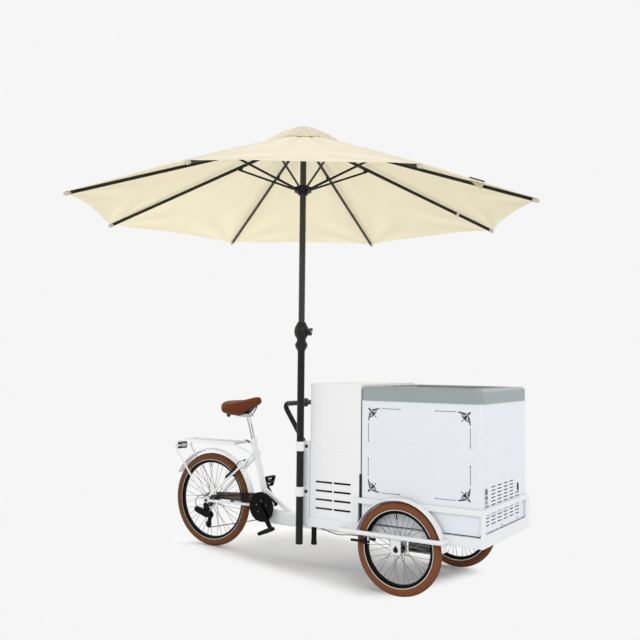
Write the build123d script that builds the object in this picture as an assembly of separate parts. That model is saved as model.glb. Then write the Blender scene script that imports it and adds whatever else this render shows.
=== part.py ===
from build123d import *
import os
from math import acos, asin, atan2, cos, degrees, hypot, pi, radians, sin, sqrt, tan

# A freezer cargo tricycle with a parasol clamped to its corner post. Millimetres.
# Pieces are laid out from the front axle: x forward, y left of the centreline, z up from
# the ground. On export everything moves so that the parasol's pole stands on the origin.

# Layout
WHEELBASE = 1612.0
FRONT_WHEEL_R = 250.0
REAR_WHEEL_R = 310.0
FRONT_TYRE_W = 48.0
REAR_TYRE_W = 50.0
HUB_HALF = 33.0
CHASSIS_HALF = 361.0
CHASSIS_FRONT = 460.0
CHASSIS_REAR = -640.0
CHASSIS_BOTTOM = 296.0
CHASSIS_DECK = 350.0
RAIL_W = 30.0
PIVOT_X = -200.0
POLE_BACK = 6.0
BOX_INSET = 15.0

# Fits: running gap of pins and shafts, gap between seated pieces, gap of sliding plates
RUN = 0.05
SEAT = 0.2
SLIP = 0.5

# Wheels
TYRE_BEAD_DEPTH = 42.0
RIM_DEPTH = 22.0
RIM_W = 30.0
SPOKES = 36
SPOKE_W = 2.2
SPOKE_CROSS = 58.0
AXLE_R = 5.0
FLANGE_R = 26.0
FLANGE_T = 3.0
FRONT_FLANGE_Y = 22.0
REAR_FLANGE_Y = 28.0
HUB_R = 13.0
NUT_AF = 15.0
NUT_T = 8.0

# Rear frame
BB_X = -1152.0
BB_Z = 312.0
BB_SHELL_R = 24.0
BB_SHELL_HALF = 35.0
SEAT_LEAN = 16.5
SEAT_TUBE_LEN = 441.0
SEAT_TUBE_R = 20.0
BEAM_W = 76.0
BEAM_H = 84.0
BEAM_TOP = 290.0
BEAM_ROUND = 12.0
STRUT_R = 14.0
STRUT_FOOT_X = -960.0
STRUT_HEAD = 112.0
CHAIN_STAY_R = 9.0
SEAT_STAY_R = 8.0
SEAT_STAY_HEAD = 342.0
SEAT_STAY_HALF = 30.0
DROPOUT_HALF = 65.0
DROPOUT_T = 6.0
DROPOUT_R = 19.0
KINGPIN_R = 15.0
KINGPIN_HEAD_R = 46.0
KINGPIN_NUT_R = 27.0
KINGPIN_NUT_T = 12.0

# Saddle and post
POST_R = 13.5
POST_OUT = 158.0
POST_IN = 120.0
POST_BORE = 250.0
CLAMP_H = 22.0
CLAMP_T = 6.0
SADDLE_LEN = 278.0
SADDLE_W = 206.0
SADDLE_NOSE_W = 50.0
SADDLE_H = 93.0
SADDLE_TILT = 8.0
SADDLE_FRONT_SHARE = 0.41
RAIL_R = 3.5
RAIL_HALF = 22.0
RAIL_DROP = 16.0

# Rack, mudguard and chain guard
RACK_HALF = 80.0
RACK_Z = 700.0
RACK_REAR_X = -1840.0
RACK_FRONT_X = -1368.0
RACK_TUBE_R = 6.0
RACK_BEND = 42.0
RACK_SLATS = 5
RACK_SLAT_W = 18.0
RACK_DECK_T = 8.0
MUDGUARD_GAP = 24.0
MUDGUARD_W = 60.0
MUDGUARD_T = 2.5
MUDGUARD_CROWN = 9.0
MUDGUARD_FROM = 6.0
MUDGUARD_TO = 152.0
STAY_WIRE_R = 2.0
STAY_WIRE_AT = 137.0
REFLECTOR_W = 84.0
REFLECTOR_H = 46.0
REFLECTOR_T = 12.0
GUARD_T = 3.0
GUARD_REAR_X = -1526.0
GUARD_REAR_H = 40.0
GUARD_FRONT_H = 62.0

# Drive
CHAIN_Y = -54.0
CHAIN_PITCH = 12.7
RING_TEETH = 38
COG_TEETH = (14, 16, 18, 21, 24)
COG_STEP = 4.2
COG_T = 1.6
PULLEY_TEETH = 11
RING_T = 2.4
CHAIN_PLATE_H = 7.0
CHAIN_PLATE_T = 1.2
CHAIN_PLATE_GAP = 3.4
TOOTH_ADD = 3.0
TOOTH_CUT = 3.6
SPINDLE_R = 9.0
CRANK_LEN = 160.0
CRANK_ANGLE = -57.0
CRANK_T = 14.0
CRANK_IN = 74.0
DISC_R = 95.0
DISC_Y = 69.0
SPIDER_R = 62.0
PEDAL_PIN_R = 6.0
PEDAL_W = 92.0
PEDAL_LEN = 72.0
PEDAL_H = 22.0
PEDAL_TILT_RIGHT = 26.0
PEDAL_TILT_LEFT = 72.0
FREEHUB_R = 12.0
PULLEY_UP = (25.0, -95.0)
PULLEY_LOW = (15.0, -158.0)
CHANGER_ELBOW = (-66.0, -62.0)

# Brakes
BRAKE_ARM_LEN = 100.0
BRAKE_PAD_AT = 28.0
BRAKE_BOSS_R = 4.0
BRAKE_ARM_T = 12.0
BRAKE_PAD_GAP = 2.2
BRAKE_PAD_T = 10.0
BRAKE_PAD_LEN = 36.0
FRONT_BRAKE_Z = 280.0
CABLE_R = 2.5

# Chassis
FRAME_T = 12.0
TOP_RAIL_TOP = 492.0
TOP_RAIL_H = 30.0
FRONT_TOP_H = 28.0
FRONT_LOW_TOP = 360.0
FRONT_POST_W = 45.0
SIDE_POST_X = -290.0
SIDE_POST_W = 30.0
CORNER_POST = 34.0
CORNER_POST_TOP = 785.0
WHEEL_RAIL_R = 12.5
WHEEL_RAIL_Z = 318.0
WHEEL_RAIL_GAP = 25.0
WHEEL_RAIL_BACK = 95.0
AXLE_PLATE_T = 6.0
AXLE_PLATE_W = 56.0
AXLE_PLATE_DROP = 25.0
FENDER_GAP = 12.0
FENDER_T = 2.5
FENDER_W = 60.0
FENDER_CROWN = 7.0
FENDER_TAB = 3.0
THRUST_T = 5.5
LEG_X = -571.0
LEG_R = 15.0
LEG_BOTTOM = 196.0

# Freezer
FREEZER_REAR = -262.0
FREEZER_FRONT = 446.0
FREEZER_TOP = 1032.0
FREEZER_WALL = 60.0
FREEZER_FLOOR = 70.0
FREEZER_EDGE = 8.0
BAY_REAR_X = 170.0
BAY_TOP = 610.0
BAY_SKIN = 3.0
WELL_FRONT_X = 110.0
SHELF_Z = 660.0
LINER_T = 2.0
PLINTH_H = 7.0
PLINTH_IN = 14.0
PLINTH_REAR_X = -165.0
GRILLE_SLOT_L = 66.0
GRILLE_SLOT_H = 6.0
GRILLE_FIRST_Y = -266.0
GRILLE_PITCH_Y = 93.0
GRILLE_PITCH_Z = 18.6
GRILLE_UPPER_Z = 500.0
GRILLE_LOWER_Z = 402.0
GRILLE_UPPER = ((0, 6), (1, 6), (1, 5), (1, 5), (1, 5), (1, 5))
GRILLE_LOWER = ((0, 6), (0, 6), (0, 6), (0, 6))
LATCH_Y = 207.0
LATCH_Z = 549.0
LATCH_L = 44.0
LATCH_W = 15.0
SWITCH_Y = -281.0
SWITCH_W = 46.0
SWITCH_LOW = 508.0
SWITCH_HIGH = 600.0
SWITCH_T = 2.5
SWITCH_WINDOWS = ((513.0, 532.0), (537.0, 556.0), (562.0, 592.0))
CAP_OVER = 4.0
CAP_H = 78.0
CAP_ROUND = 28.0
CAP_EDGE = 20.0
WINDOW_REAR = -196.0
WINDOW_FRONT = 380.0
WINDOW_HALF = 281.0
TRACK_STEP = 6.0
LID_T = 5.0
LID_LEN = 300.0
LID_Z = 1082.0
LID_GRIP_W = 18.0
LID_GRIP_H = 9.0

# Cabinet
CABINET_REAR = -604.0
CABINET_FRONT = -268.0
CABINET_TOP = 1120.0
CABINET_WALL = 2.5
CABINET_LIP = 22.0
DOOR_BOTTOM = 505.0
DOOR_TOP = 1098.0
DOOR_T = 3.0
HINGE_R = 5.0
HINGE_PIN_R = 2.5
HINGE_LEN = 60.0
LOUVRES = 4
LOUVRE_L = 235.0
LOUVRE_BRIDGE = 8.0
LOUVRE_H = 11.0
LOUVRE_PITCH = 50.0
LOUVRE_LOW_Z = 405.0
CONTROLLER_X = 36.0
CONTROLLER_L = 164.0
CONTROLLER_W = 40.0
CONTROLLER_H = 62.0
CONTROLLER_FINS = 15

# Handlebar and lever
BAR_R = 15.0
BAR_INSET = 66.0
BAR_FOOT_Z = 690.0
BAR_TOP_X = -840.0
BAR_TOP_Z = 990.0
BAR_BEND = 48.0
BAR_STUB = 34.0
FLANGE_PLATE_R = 30.0
PERCH_Y = -90.0
PERCH_W = 22.0
PERCH_T = 5.0
HOUSING_L = 74.0
HOUSING_LOBE_R = 11.0
HOUSING_LOBE_Z = 16.0
LEVER_REACH = 46.0
LEVER_LEN = 120.0
LEVER_T = 9.0
LEVER_W = 12.0

# Parasol
POLE_R = 21.0
POLE_BOTTOM = 196.0
POLE_TOP = 1330.0
POLE_WALL = 2.0
MAST_R = 18.4
MAST_BOTTOM = 1000.0
COUPLING_R = 43.0
COUPLING_BOTTOM = 1306.0
COUPLING_H = 170.0
KNOB_AZIMUTH = 5.0
KNOB_R = 22.0
KNOB_T = 16.0
CLAMP_Z = (496.5, 756.0)
CLAMP_STRAP_H = 54.0
CLAMP_STRAP_T = 4.0
CLAMP_PLATE_T = 5.0
CLAMP_BOLT_R = 8.0
CANOPY_R = 1350.0
CANOPY_RIM_Z = 2108.0
RIB_SLOPE = 18.5
RIBS = 8
RIB_AZIMUTH = 11.4
RIB_W = 12.0
RIB_H = 18.0
RIB_TONGUE = 48.0
TONGUE_T = 7.0
EYE_R = 9.0
PIN_R = 3.0
HINGE_RADIUS = 38.0
CROWN_R = 52.0
CROWN_H = 30.0
STRUT_AT = 400.0
STRUT_DROP = 18.0
STRUT_H = 12.0
STRUT_EYE_R = 7.0
EAR_T = 3.0
RUNNER_Z = 2256.0
RUNNER_R = 50.0
RUNNER_H = 30.0
RUNNER_SLEEVE_R = 29.0
RUNNER_SLEEVE = 62.0
CANOPY_T = 2.0
VENT_HOLE_R = 150.0
VENT_R = 235.0
VENT_LIFT = 14.0
VENT_TOP_Z = 2632.0

# Places worked out from the sizes above
HALF_TRACK = CHASSIS_HALF + HUB_HALF
FREEZER_HALF = CHASSIS_HALF - BOX_INSET
BAR_HALF = FREEZER_HALF - BAR_INSET
POLE_X = CHASSIS_REAR - POLE_BACK
POLE_Y = -(CHASSIS_HALF + CLAMP_PLATE_T + POLE_R)
REAR_AXLE = (-WHEELBASE, 0, REAR_WHEEL_R)
BB = (BB_X, 0, BB_Z)
RIGHT = -1
LEFT = 1
SEAT_DIR = Vector(-sin(radians(SEAT_LEAN)), 0, cos(radians(SEAT_LEAN)))


def rect(u0, u1, v0, v1):
    """Rectangle between two corners."""
    return Pos((u0 + u1) / 2, (v0 + v1) / 2) * Rectangle(u1 - u0, v1 - v0)


def rounded(u0, u1, v0, v1, radius):
    """Rectangle between two corners, with round corners."""
    return Pos((u0 + u1) / 2, (v0 + v1) / 2) * RectangleRounded(u1 - u0, v1 - v0, radius)


def polygon(points):
    """Face inside a closed run of points."""
    return make_face(Polyline(points, close=True))


def along_x(sketch, x0, x1):
    """Extrude a sketch drawn in (y, z) from x0 to x1."""
    return extrude(Plane(origin=(x0, 0, 0), x_dir=(0, 1, 0), z_dir=(1, 0, 0)) * sketch, amount=x1 - x0)


def along_y(sketch, y0, y1):
    """Extrude a sketch drawn in (x, z) between two values of y."""
    low, high = min(y0, y1), max(y0, y1)
    plane = Plane(origin=(0, high, 0), x_dir=(1, 0, 0), z_dir=(0, -1, 0))
    return extrude(plane * sketch, amount=high - low)


def along_z(sketch, z0, z1):
    """Extrude a sketch drawn in (x, y) from z0 to z1."""
    return extrude(Pos(0, 0, z0) * sketch, amount=z1 - z0)


def rod(start, end, radius):
    """Round bar between two points."""
    start, end = Vector(*start), Vector(*end)
    return Solid.make_cylinder(radius, (end - start).length, Plane(origin=start, z_dir=end - start))


def cross_rod(x, z, half, radius):
    """Round bar across the centreline."""
    return rod((x, -half, z), (x, half, z), radius)


def bent_tube(points, radius, bend):
    """Round bar along straight runs joined by arcs."""
    path = FilletPolyline(*points, radius=bend)
    section = Plane(origin=path @ 0, z_dir=path % 0) * Circle(radius)
    return sweep(section, path=path)


def arch(face, start, end):
    """Turn a face drawn in (radius, y) about the y axis, from one angle above +x to another."""
    return Rot(0, -end, 0) * revolve(face, axis=Axis.Y, revolution_arc=end - start)


def crowned_strip(radius, width, crown, thickness):
    """Curved cross-section of a mudguard, in (radius, y)."""
    outer = ThreePointArc((radius, -width / 2), (radius + crown, 0), (radius, width / 2))
    inner = ThreePointArc(
        (radius - thickness, width / 2), (radius + crown - thickness, 0), (radius - thickness, -width / 2)
    )
    return make_face([outer, Line(outer @ 1, inner @ 0), inner, Line(inner @ 1, outer @ 0)])


def seat_point(distance):
    """Point on the seat tube's axis, measured up from the bottom bracket."""
    return Vector(*BB) + SEAT_DIR * distance


def pitch_radius(teeth):
    """Radius of the chain's rollers on a sprocket."""
    return CHAIN_PITCH / (2 * sin(pi / teeth))


def sprocket(teeth):
    """Toothed outline about the origin."""
    tip = pitch_radius(teeth) + TOOTH_ADD
    root = pitch_radius(teeth) - TOOTH_CUT
    step = 2 * pi / teeth
    points = []
    for tooth in range(teeth):
        middle = tooth * step
        for radius, share in ((root, -0.36), (tip, -0.12), (tip, 0.12), (root, 0.36)):
            angle = middle + share * step
            points.append((radius * cos(angle), radius * sin(angle)))
    return polygon(points)


# Wheels: tyre, and rim with laced spokes on a flanged hub, turned about the y axis


def tyre(radius, width):
    centre = radius - width / 2
    bead = radius - TYRE_BEAD_DEPTH
    half = sqrt((width / 2) ** 2 - (centre - bead) ** 2)
    crown = ThreePointArc((bead, -half), (radius, 0), (bead, half))
    return revolve(make_face([crown, Line((bead, half), (bead, -half))]), axis=Axis.Y)


def rim(radius):
    bead = radius - TYRE_BEAD_DEPTH
    half = RIM_W / 2
    well = bead - RIM_DEPTH
    section = polygon(
        [(bead, -half), (bead, half), (bead - RIM_DEPTH / 2, half - 1), (well, half / 2),
         (well, -half / 2), (bead - RIM_DEPTH / 2, 1 - half)]
    )
    return revolve(section, axis=Axis.Y)


def hub(flange_y, half, freehub=0.0):
    """Flanged hub; a freehub length adds the cassette's barrel on the right-hand end."""
    barrel = rod((0, -flange_y, 0), (0, flange_y, 0), HUB_R)
    body = barrel + rod((0, 0, 0), (0, half, 0), HUB_R - 3)
    if freehub:
        body += rod((0, -flange_y, 0), (0, -flange_y - freehub, 0), FREEHUB_R)
    else:
        body += rod((0, 0, 0), (0, -half, 0), HUB_R - 3)
    for side in (RIGHT, LEFT):
        face = side * flange_y
        body += rod((0, face - FLANGE_T / 2, 0), (0, face + FLANGE_T / 2, 0), FLANGE_R)
    return body - rod((0, -2 * half, 0), (0, 2 * half, 0), AXLE_R + RUN)


def spokes(radius, flange_y):
    """Crossed spokes: odd and even ones lean opposite ways on the two flanges."""
    outer = radius - TYRE_BEAD_DEPTH - RIM_DEPTH + 3
    inner = FLANGE_R - 3
    laced = []
    for number in range(SPOKES):
        angle = 2 * pi * number / SPOKES
        side = RIGHT if number % 2 else LEFT
        lean = radians(SPOKE_CROSS) * (1 if number % 4 < 2 else -1)
        seat = side * flange_y + (SPOKE_W if lean > 0 else -SPOKE_W) / 2
        start = Vector(inner * cos(angle + lean), seat, inner * sin(angle + lean))
        end = Vector(outer * cos(angle), side * SPOKE_W, outer * sin(angle))
        plane = Plane(origin=start, z_dir=end - start)
        laced.append(extrude(plane * Rectangle(SPOKE_W, SPOKE_W), amount=(end - start).length))
    return laced


def wheel(radius, flange_y, half, freehub=0.0):
    return rim(radius) + hub(flange_y, half, freehub) + spokes(radius, flange_y)


def hex_nut(x, z, y0, y1):
    return along_y(Pos(x, z) * RegularPolygon(NUT_AF / sqrt(3), 6), y0, y1)


# Rear frame: box beam, seat tube, strut, stays and dropouts welded into one


def seat_stay_ends(side):
    head = seat_point(SEAT_STAY_HEAD)
    foot = (REAR_AXLE[0] + 14, side * (DROPOUT_HALF + DROPOUT_T / 2), REAR_AXLE[2] + 22)
    return Vector(head.X, side * SEAT_STAY_HALF, head.Z), Vector(*foot)


def brake_track(radius):
    """Radius at which the brake shoes meet the rim."""
    return radius - TYRE_BEAD_DEPTH - RIM_DEPTH / 2


def brake_boss(side):
    """Centre and axes of a rear brake boss on its seat stay."""
    head, foot = seat_stay_ends(side)
    run = head - foot
    along = Vector(run.X, 0, run.Z).normalized()
    flat = Vector(foot.X - REAR_AXLE[0], 0, foot.Z - REAR_AXLE[2])
    reach = brake_track(REAR_WHEEL_R) - BRAKE_PAD_AT - flat.length
    share = reach / Vector(run.X, 0, run.Z).length
    centre = foot + run * share
    normal = Vector(-along.Z, 0, along.X)
    return centre, along, normal


def main_frame():
    top = seat_point(SEAT_TUBE_LEN)
    beam_z = BEAM_TOP - BEAM_H / 2
    head_x = PIVOT_X + KINGPIN_R + BEAM_W / 2
    section = Pos(0, beam_z) * RectangleRounded(BEAM_W, BEAM_H, BEAM_ROUND)
    frame = along_x(section, BB_X - BB_SHELL_R, head_x)
    frame += cross_rod(BB_X, BB_Z, BB_SHELL_HALF, BB_SHELL_R)
    frame += rod(BB, top, SEAT_TUBE_R)
    frame += rod(seat_point(STRUT_HEAD), (STRUT_FOOT_X, 0, BEAM_TOP - STRUT_R), STRUT_R)
    for side in (RIGHT, LEFT):
        head, foot = seat_stay_ends(side)
        plate_y = side * (DROPOUT_HALF + DROPOUT_T / 2)
        frame += rod(head, foot, SEAT_STAY_R)
        stay_end = (REAR_AXLE[0] + DROPOUT_R, plate_y, REAR_AXLE[2])
        frame += rod((BB_X, side * (BB_SHELL_HALF - 7), BB_Z), stay_end, CHAIN_STAY_R)
        outline = Pos(REAR_AXLE[0], REAR_AXLE[2]) * Circle(DROPOUT_R)
        outline += Pos(foot.X, foot.Z) * Circle(SEAT_STAY_R + 4)
        outline += Pos(REAR_AXLE[0] + DROPOUT_R, REAR_AXLE[2]) * Circle(CHAIN_STAY_R + 4)
        outline += Pos(*rack_foot()) * Circle(RACK_TUBE_R + 3)
        frame += along_y(outline, side * DROPOUT_HALF, side * (DROPOUT_HALF + DROPOUT_T))
        frame += rod((rack_foot()[0], side * DROPOUT_HALF, rack_foot()[1]),
                     (rack_foot()[0], side * (RACK_HALF - RACK_TUBE_R - SEAT), rack_foot()[1]), RACK_TUBE_R)
        centre, along, normal = brake_boss(side)
        frame += rod(centre, centre + normal * (SEAT_STAY_R + BRAKE_ARM_T + 6), BRAKE_BOSS_R)
    head = seat_point(SEAT_STAY_HEAD)
    frame += cross_rod(head.X, head.Z, SEAT_STAY_HALF + 1, SEAT_STAY_R + 1)
    frame += cross_rod(*stay_bridge(), RACK_TUBE_R)
    hanger = rect(REAR_AXLE[0] - 8, REAR_AXLE[0] + 10, REAR_AXLE[2] - 36, REAR_AXLE[2])
    frame += along_y(hanger, -DROPOUT_HALF, -DROPOUT_HALF - DROPOUT_T)
    frame -= cross_rod(BB_X, BB_Z, 2 * BB_SHELL_HALF, SPINDLE_R + RUN)
    frame -= rod(top + SEAT_DIR, seat_point(SEAT_TUBE_LEN - POST_BORE), POST_R + RUN)
    frame -= cross_rod(REAR_AXLE[0], REAR_AXLE[2], RACK_HALF, AXLE_R + RUN)
    frame -= rod((PIVOT_X, 0, BEAM_TOP + 1), (PIVOT_X, 0, BEAM_TOP - BEAM_H - 1), KINGPIN_R + RUN)
    return frame


def rack_foot():
    """Where the rack's leg bolts to the dropout, in (x, z)."""
    return REAR_AXLE[0] - 15, REAR_AXLE[2] + 19


def stay_bridge():
    """Bridge between the seat stays that holds the mudguard: x, z and half length."""
    head, foot = seat_stay_ends(LEFT)
    guard = REAR_WHEEL_R + MUDGUARD_GAP + MUDGUARD_CROWN
    away = guard + RACK_TUBE_R + 0.3
    flat = Vector(head.X - REAR_AXLE[0], 0, head.Z - REAR_AXLE[2])
    share = 1 - away / flat.length
    half = SEAT_STAY_HALF + (foot.Y - SEAT_STAY_HALF) * share
    spot = Vector(REAR_AXLE[0], 0, REAR_AXLE[2]) + flat.normalized() * away
    return spot.X, spot.Z, half


def rear_axle():
    axle = cross_rod(REAR_AXLE[0], REAR_AXLE[2], RACK_HALF, AXLE_R)
    for side in (RIGHT, LEFT):
        face = DROPOUT_HALF + DROPOUT_T
        axle += hex_nut(REAR_AXLE[0], REAR_AXLE[2], side * face, side * (face + NUT_T))
    ring = Pos(REAR_AXLE[0], REAR_AXLE[2]) * Circle(HUB_R - 4)
    return axle + along_y(ring, -DROPOUT_HALF, -DROPOUT_HALF + 4)


# Saddle on its post, with the rails under it


def seat_clamp():
    top = seat_point(SEAT_TUBE_LEN)
    low = top - SEAT_DIR * CLAMP_H
    ring = rod(low, top, SEAT_TUBE_R + CLAMP_T) - rod(low - SEAT_DIR, top + SEAT_DIR, SEAT_TUBE_R + SEAT)
    middle = top - SEAT_DIR * (CLAMP_H / 2)
    back = Vector(-cos(radians(SEAT_LEAN)), 0, -sin(radians(SEAT_LEAN)))
    lug = middle + back * (SEAT_TUBE_R + CLAMP_T + 5)
    ring += rod((lug.X, -14, lug.Z), (lug.X, 14, lug.Z), 7) - rod(low, top, SEAT_TUBE_R + 1)
    lever = rod((lug.X, -13, lug.Z), (lug.X - 14, -18, lug.Z + 8), 4.5)
    return ring + lever + rod((lug.X - 14, -18, lug.Z + 8), (lug.X - 20, -22, lug.Z + 10), 5.5)


def saddle_plane():
    """Saddle's own frame: x towards the nose, z up, on the rails above the post."""
    head = seat_point(SEAT_TUBE_LEN + POST_OUT)
    tilt = radians(SADDLE_TILT)
    return Plane(origin=head, x_dir=(cos(tilt), 0, sin(tilt)), z_dir=(-sin(tilt), 0, cos(tilt)))


def saddle_stations():
    """Sections from tail to nose: place along, half width, underside and top on the rails."""
    shares = (
        (0.00, 0.46, 0.50, 0.84),
        (0.10, 0.95, 0.22, 0.99),
        (0.25, 1.00, 0.06, 1.00),
        (0.40, 0.86, 0.00, 0.96),
        (0.55, 0.60, 0.06, 0.93),
        (0.70, 0.40, 0.20, 0.91),
        (0.85, 0.28, 0.36, 0.89),
        (0.95, 0.23, 0.43, 0.86),
        (1.00, 0.12, 0.54, 0.78),
    )
    tail = -(1 - SADDLE_FRONT_SHARE) * SADDLE_LEN
    base = RAIL_DROP + RAIL_R + 0.3
    stations = []
    for share, width, under, over in shares:
        half = width * SADDLE_W / 2
        if share > 0.6:
            half = half * SADDLE_NOSE_W / (0.24 * SADDLE_W)
        stations.append((tail + share * SADDLE_LEN, half, base + under * SADDLE_H, base + over * SADDLE_H))
    return stations


def seat_post():
    low = seat_point(SEAT_TUBE_LEN - POST_IN)
    head = seat_point(SEAT_TUBE_LEN + POST_OUT)
    post = rod(low, head - SEAT_DIR * 8, POST_R)
    clamp = Pos(0, 0, 0) * Box(44, 2 * RAIL_HALF + 4 * RAIL_R, 20)
    place = saddle_plane()
    post += place * clamp
    stations = saddle_stations()
    below = RAIL_R + 0.3
    for side in (RIGHT, LEFT):
        y = side * RAIL_HALF
        rear = (stations[2][0], y, stations[2][2] - below)
        nose = (stations[6][0], side * 10.0, stations[6][2] - below)
        post += place * rod((-46, y, 0), (20, y, 0), RAIL_R)
        post += place * rod((-46, y, 0), rear, RAIL_R)
        post += place * rod((20, y, 0), nose, RAIL_R)
        for joint in ((-46, y, 0), (20, y, 0), rear, nose):
            post += place * (Pos(*joint) * Sphere(RAIL_R))
    return post


def saddle():
    """Padded saddle: a loft of crowned sections from the wide tail to the narrow nose."""
    sections = []
    for x, half, low, high in saddle_stations():
        waist = low + 0.45 * (high - low)
        foot = 0.84 * half
        shoulder = 0.80 * half
        brow = low + 0.86 * (high - low)
        right = ThreePointArc((foot, low), (half, waist), (shoulder, brow))
        crown = ThreePointArc((shoulder, brow), (0, high), (-shoulder, brow))
        left = ThreePointArc((-shoulder, brow), (-half, waist), (-foot, low))
        face = make_face([Line((-foot, low), (foot, low)), right, crown, left])
        sections.append(Plane(origin=(x, 0, 0), x_dir=(0, 1, 0), z_dir=(1, 0, 0)) * face)
    return saddle_plane() * loft(sections)


# Rack, reflector, mudguard and chain guard


def rack_hoop(y):
    """One side of the rack: deck run, rear bend and the leg down to the dropout."""
    foot_x, foot_z = rack_foot()
    centre = (RACK_REAR_X, RACK_Z - RACK_BEND)
    span = hypot(foot_x - centre[0], foot_z - centre[1])
    heading = atan2(foot_z - centre[1], foot_x - centre[0])
    touch = heading - acos(RACK_BEND / span) + 2 * pi
    end = (centre[0] + RACK_BEND * cos(touch), centre[1] + RACK_BEND * sin(touch))
    middle = (pi / 2 + touch) / 2
    half_way = (centre[0] + RACK_BEND * cos(middle), centre[1] + RACK_BEND * sin(middle))
    path = Line((RACK_FRONT_X, y, RACK_Z), (RACK_REAR_X, y, RACK_Z))
    path += ThreePointArc((RACK_REAR_X, y, RACK_Z), (half_way[0], y, half_way[1]), (end[0], y, end[1]))
    path += Line((end[0], y, end[1]), (foot_x, y, foot_z))
    return path


def rear_rack():
    rack = None
    stay_head = seat_point(SEAT_STAY_HEAD)
    for side in (RIGHT, LEFT):
        y = side * RACK_HALF
        start = Plane(origin=(RACK_FRONT_X, y, RACK_Z), z_dir=(-1, 0, 0))
        loop = sweep(start * Circle(RACK_TUBE_R), path=rack_hoop(y))
        rack = loop if rack is None else rack + loop
        near = (stay_head.X, side * (SEAT_STAY_HALF + SEAT_STAY_R + RACK_TUBE_R + SEAT), stay_head.Z)
        rack += rod((RACK_FRONT_X, y, RACK_Z), near, RACK_TUBE_R - 0.5)
        rack += Pos(RACK_FRONT_X, y, RACK_Z) * Sphere(RACK_TUBE_R + 1)
    for x in (RACK_REAR_X + 16, (RACK_REAR_X + RACK_FRONT_X) / 2, RACK_FRONT_X - 20):
        rack += cross_rod(x, RACK_Z, RACK_HALF, RACK_TUBE_R - 1)
    pitch = (2 * RACK_HALF - 2 * RACK_TUBE_R - RACK_SLAT_W) / (RACK_SLATS - 1)
    for number in range(RACK_SLATS):
        y = pitch * (number - (RACK_SLATS - 1) / 2)
        edges = y - RACK_SLAT_W / 2, y + RACK_SLAT_W / 2
        slat = rounded(RACK_REAR_X, RACK_FRONT_X - 6, *edges, RACK_SLAT_W / 2.4)
        rack += along_z(slat, RACK_Z + RACK_TUBE_R - 4, RACK_Z + RACK_TUBE_R - 4 + RACK_DECK_T)
    return rack + cross_rod(*rack_tail(), RACK_HALF, RACK_TUBE_R - 1)


def rack_tail():
    """Rearmost cross tube of the rack, in (x, z)."""
    return RACK_REAR_X - RACK_BEND, RACK_Z - RACK_BEND


def tail_reflector():
    """Reflector block clipped to the rack's rearmost cross tube."""
    x, z = rack_tail()
    front = x - RACK_TUBE_R + 1 - SEAT
    low, high = z - REFLECTOR_H / 2, z + REFLECTOR_H / 2
    half = REFLECTOR_W / 2
    back = front - REFLECTOR_T
    block = along_x(rounded(-half, half, low, high, 7), back, front)
    block -= along_x(rounded(9 - half, half - 9, low + 9, high - 9, 4), back - 1, back + 2)
    for y in (-half / 2, half / 2):
        clip = Pos(x, z) * Circle(RACK_TUBE_R + 3) + rect(front - 2, x, z - RACK_TUBE_R, z + RACK_TUBE_R)
        clip -= Pos(x, z) * Circle(RACK_TUBE_R - 1 + SEAT)
        block += along_y(clip, y - 5, y + 5)
    return block


def rear_mudguard():
    """Crowned strip over the wheel, with a wire stay down each side to the dropout."""
    radius = REAR_WHEEL_R + MUDGUARD_GAP
    strip = crowned_strip(radius, MUDGUARD_W, MUDGUARD_CROWN, MUDGUARD_T)
    guard = Pos(*REAR_AXLE) * arch(strip, MUDGUARD_FROM, MUDGUARD_TO)
    angle = radians(STAY_WIRE_AT)
    grip = radius - MUDGUARD_T / 2
    for side in (RIGHT, LEFT):
        head = Vector(REAR_AXLE[0] + grip * cos(angle), side * (MUDGUARD_W / 2 - 1),
                      REAR_AXLE[2] + grip * sin(angle))
        boss = Vector(rack_foot()[0], side * (DROPOUT_HALF + DROPOUT_T / 2), rack_foot()[1])
        reach = RACK_TUBE_R + 3 + 2 * SEAT
        guard += rod(head, boss + (head - boss).normalized() * reach, STAY_WIRE_R)
    return guard


def chain_guard():
    """Flat cover outside the chain's upper run, with a lip over it and a tab on the stay."""
    top_front = BB_Z + pitch_radius(RING_TEETH) + CHAIN_PLATE_H
    top_rear = REAR_AXLE[2] + pitch_radius(COG_TEETH[-1]) + CHAIN_PLATE_H + 4
    outer = -(DISC_Y - 4)
    front = BB_X + 6
    plate = polygon([(GUARD_REAR_X, top_rear), (front, top_front), (front, top_front - GUARD_FRONT_H),
                     (GUARD_REAR_X, top_rear - GUARD_REAR_H)])
    plate -= Pos(BB_X, BB_Z) * Circle(SPIDER_R + 10)
    slope = (top_front - top_rear) / (front - GUARD_REAR_X)
    lip = polygon([(GUARD_REAR_X, top_rear), (front, top_front), (front, top_front + GUARD_T),
                   (GUARD_REAR_X, top_rear + GUARD_T)])
    cover = along_y(plate, outer, outer + GUARD_T)
    cover += along_y(lip, outer, CHAIN_Y + CHAIN_PLATE_H)
    tab_x = (GUARD_REAR_X + front) / 2 - 60
    share = (tab_x - BB_X) / (REAR_AXLE[0] + DROPOUT_R - BB_X)
    stay_z = BB_Z + (REAR_AXLE[2] - BB_Z) * share + CHAIN_STAY_R + 2 * SEAT
    tab_top = top_rear + slope * (tab_x - GUARD_REAR_X) - 6
    cover += along_y(rect(tab_x - 12, tab_x + 12, stay_z, tab_top), outer, outer + GUARD_T)
    return cover + along_y(rect(tab_x - 12, tab_x + 12, stay_z, stay_z + GUARD_T), outer, CHAIN_Y)


# Cranks, pedals, chain, cassette and derailleur


def crank_end(sign=1):
    angle = radians(CRANK_ANGLE)
    return BB_X + sign * CRANK_LEN * cos(angle), BB_Z + sign * CRANK_LEN * sin(angle)


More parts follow.
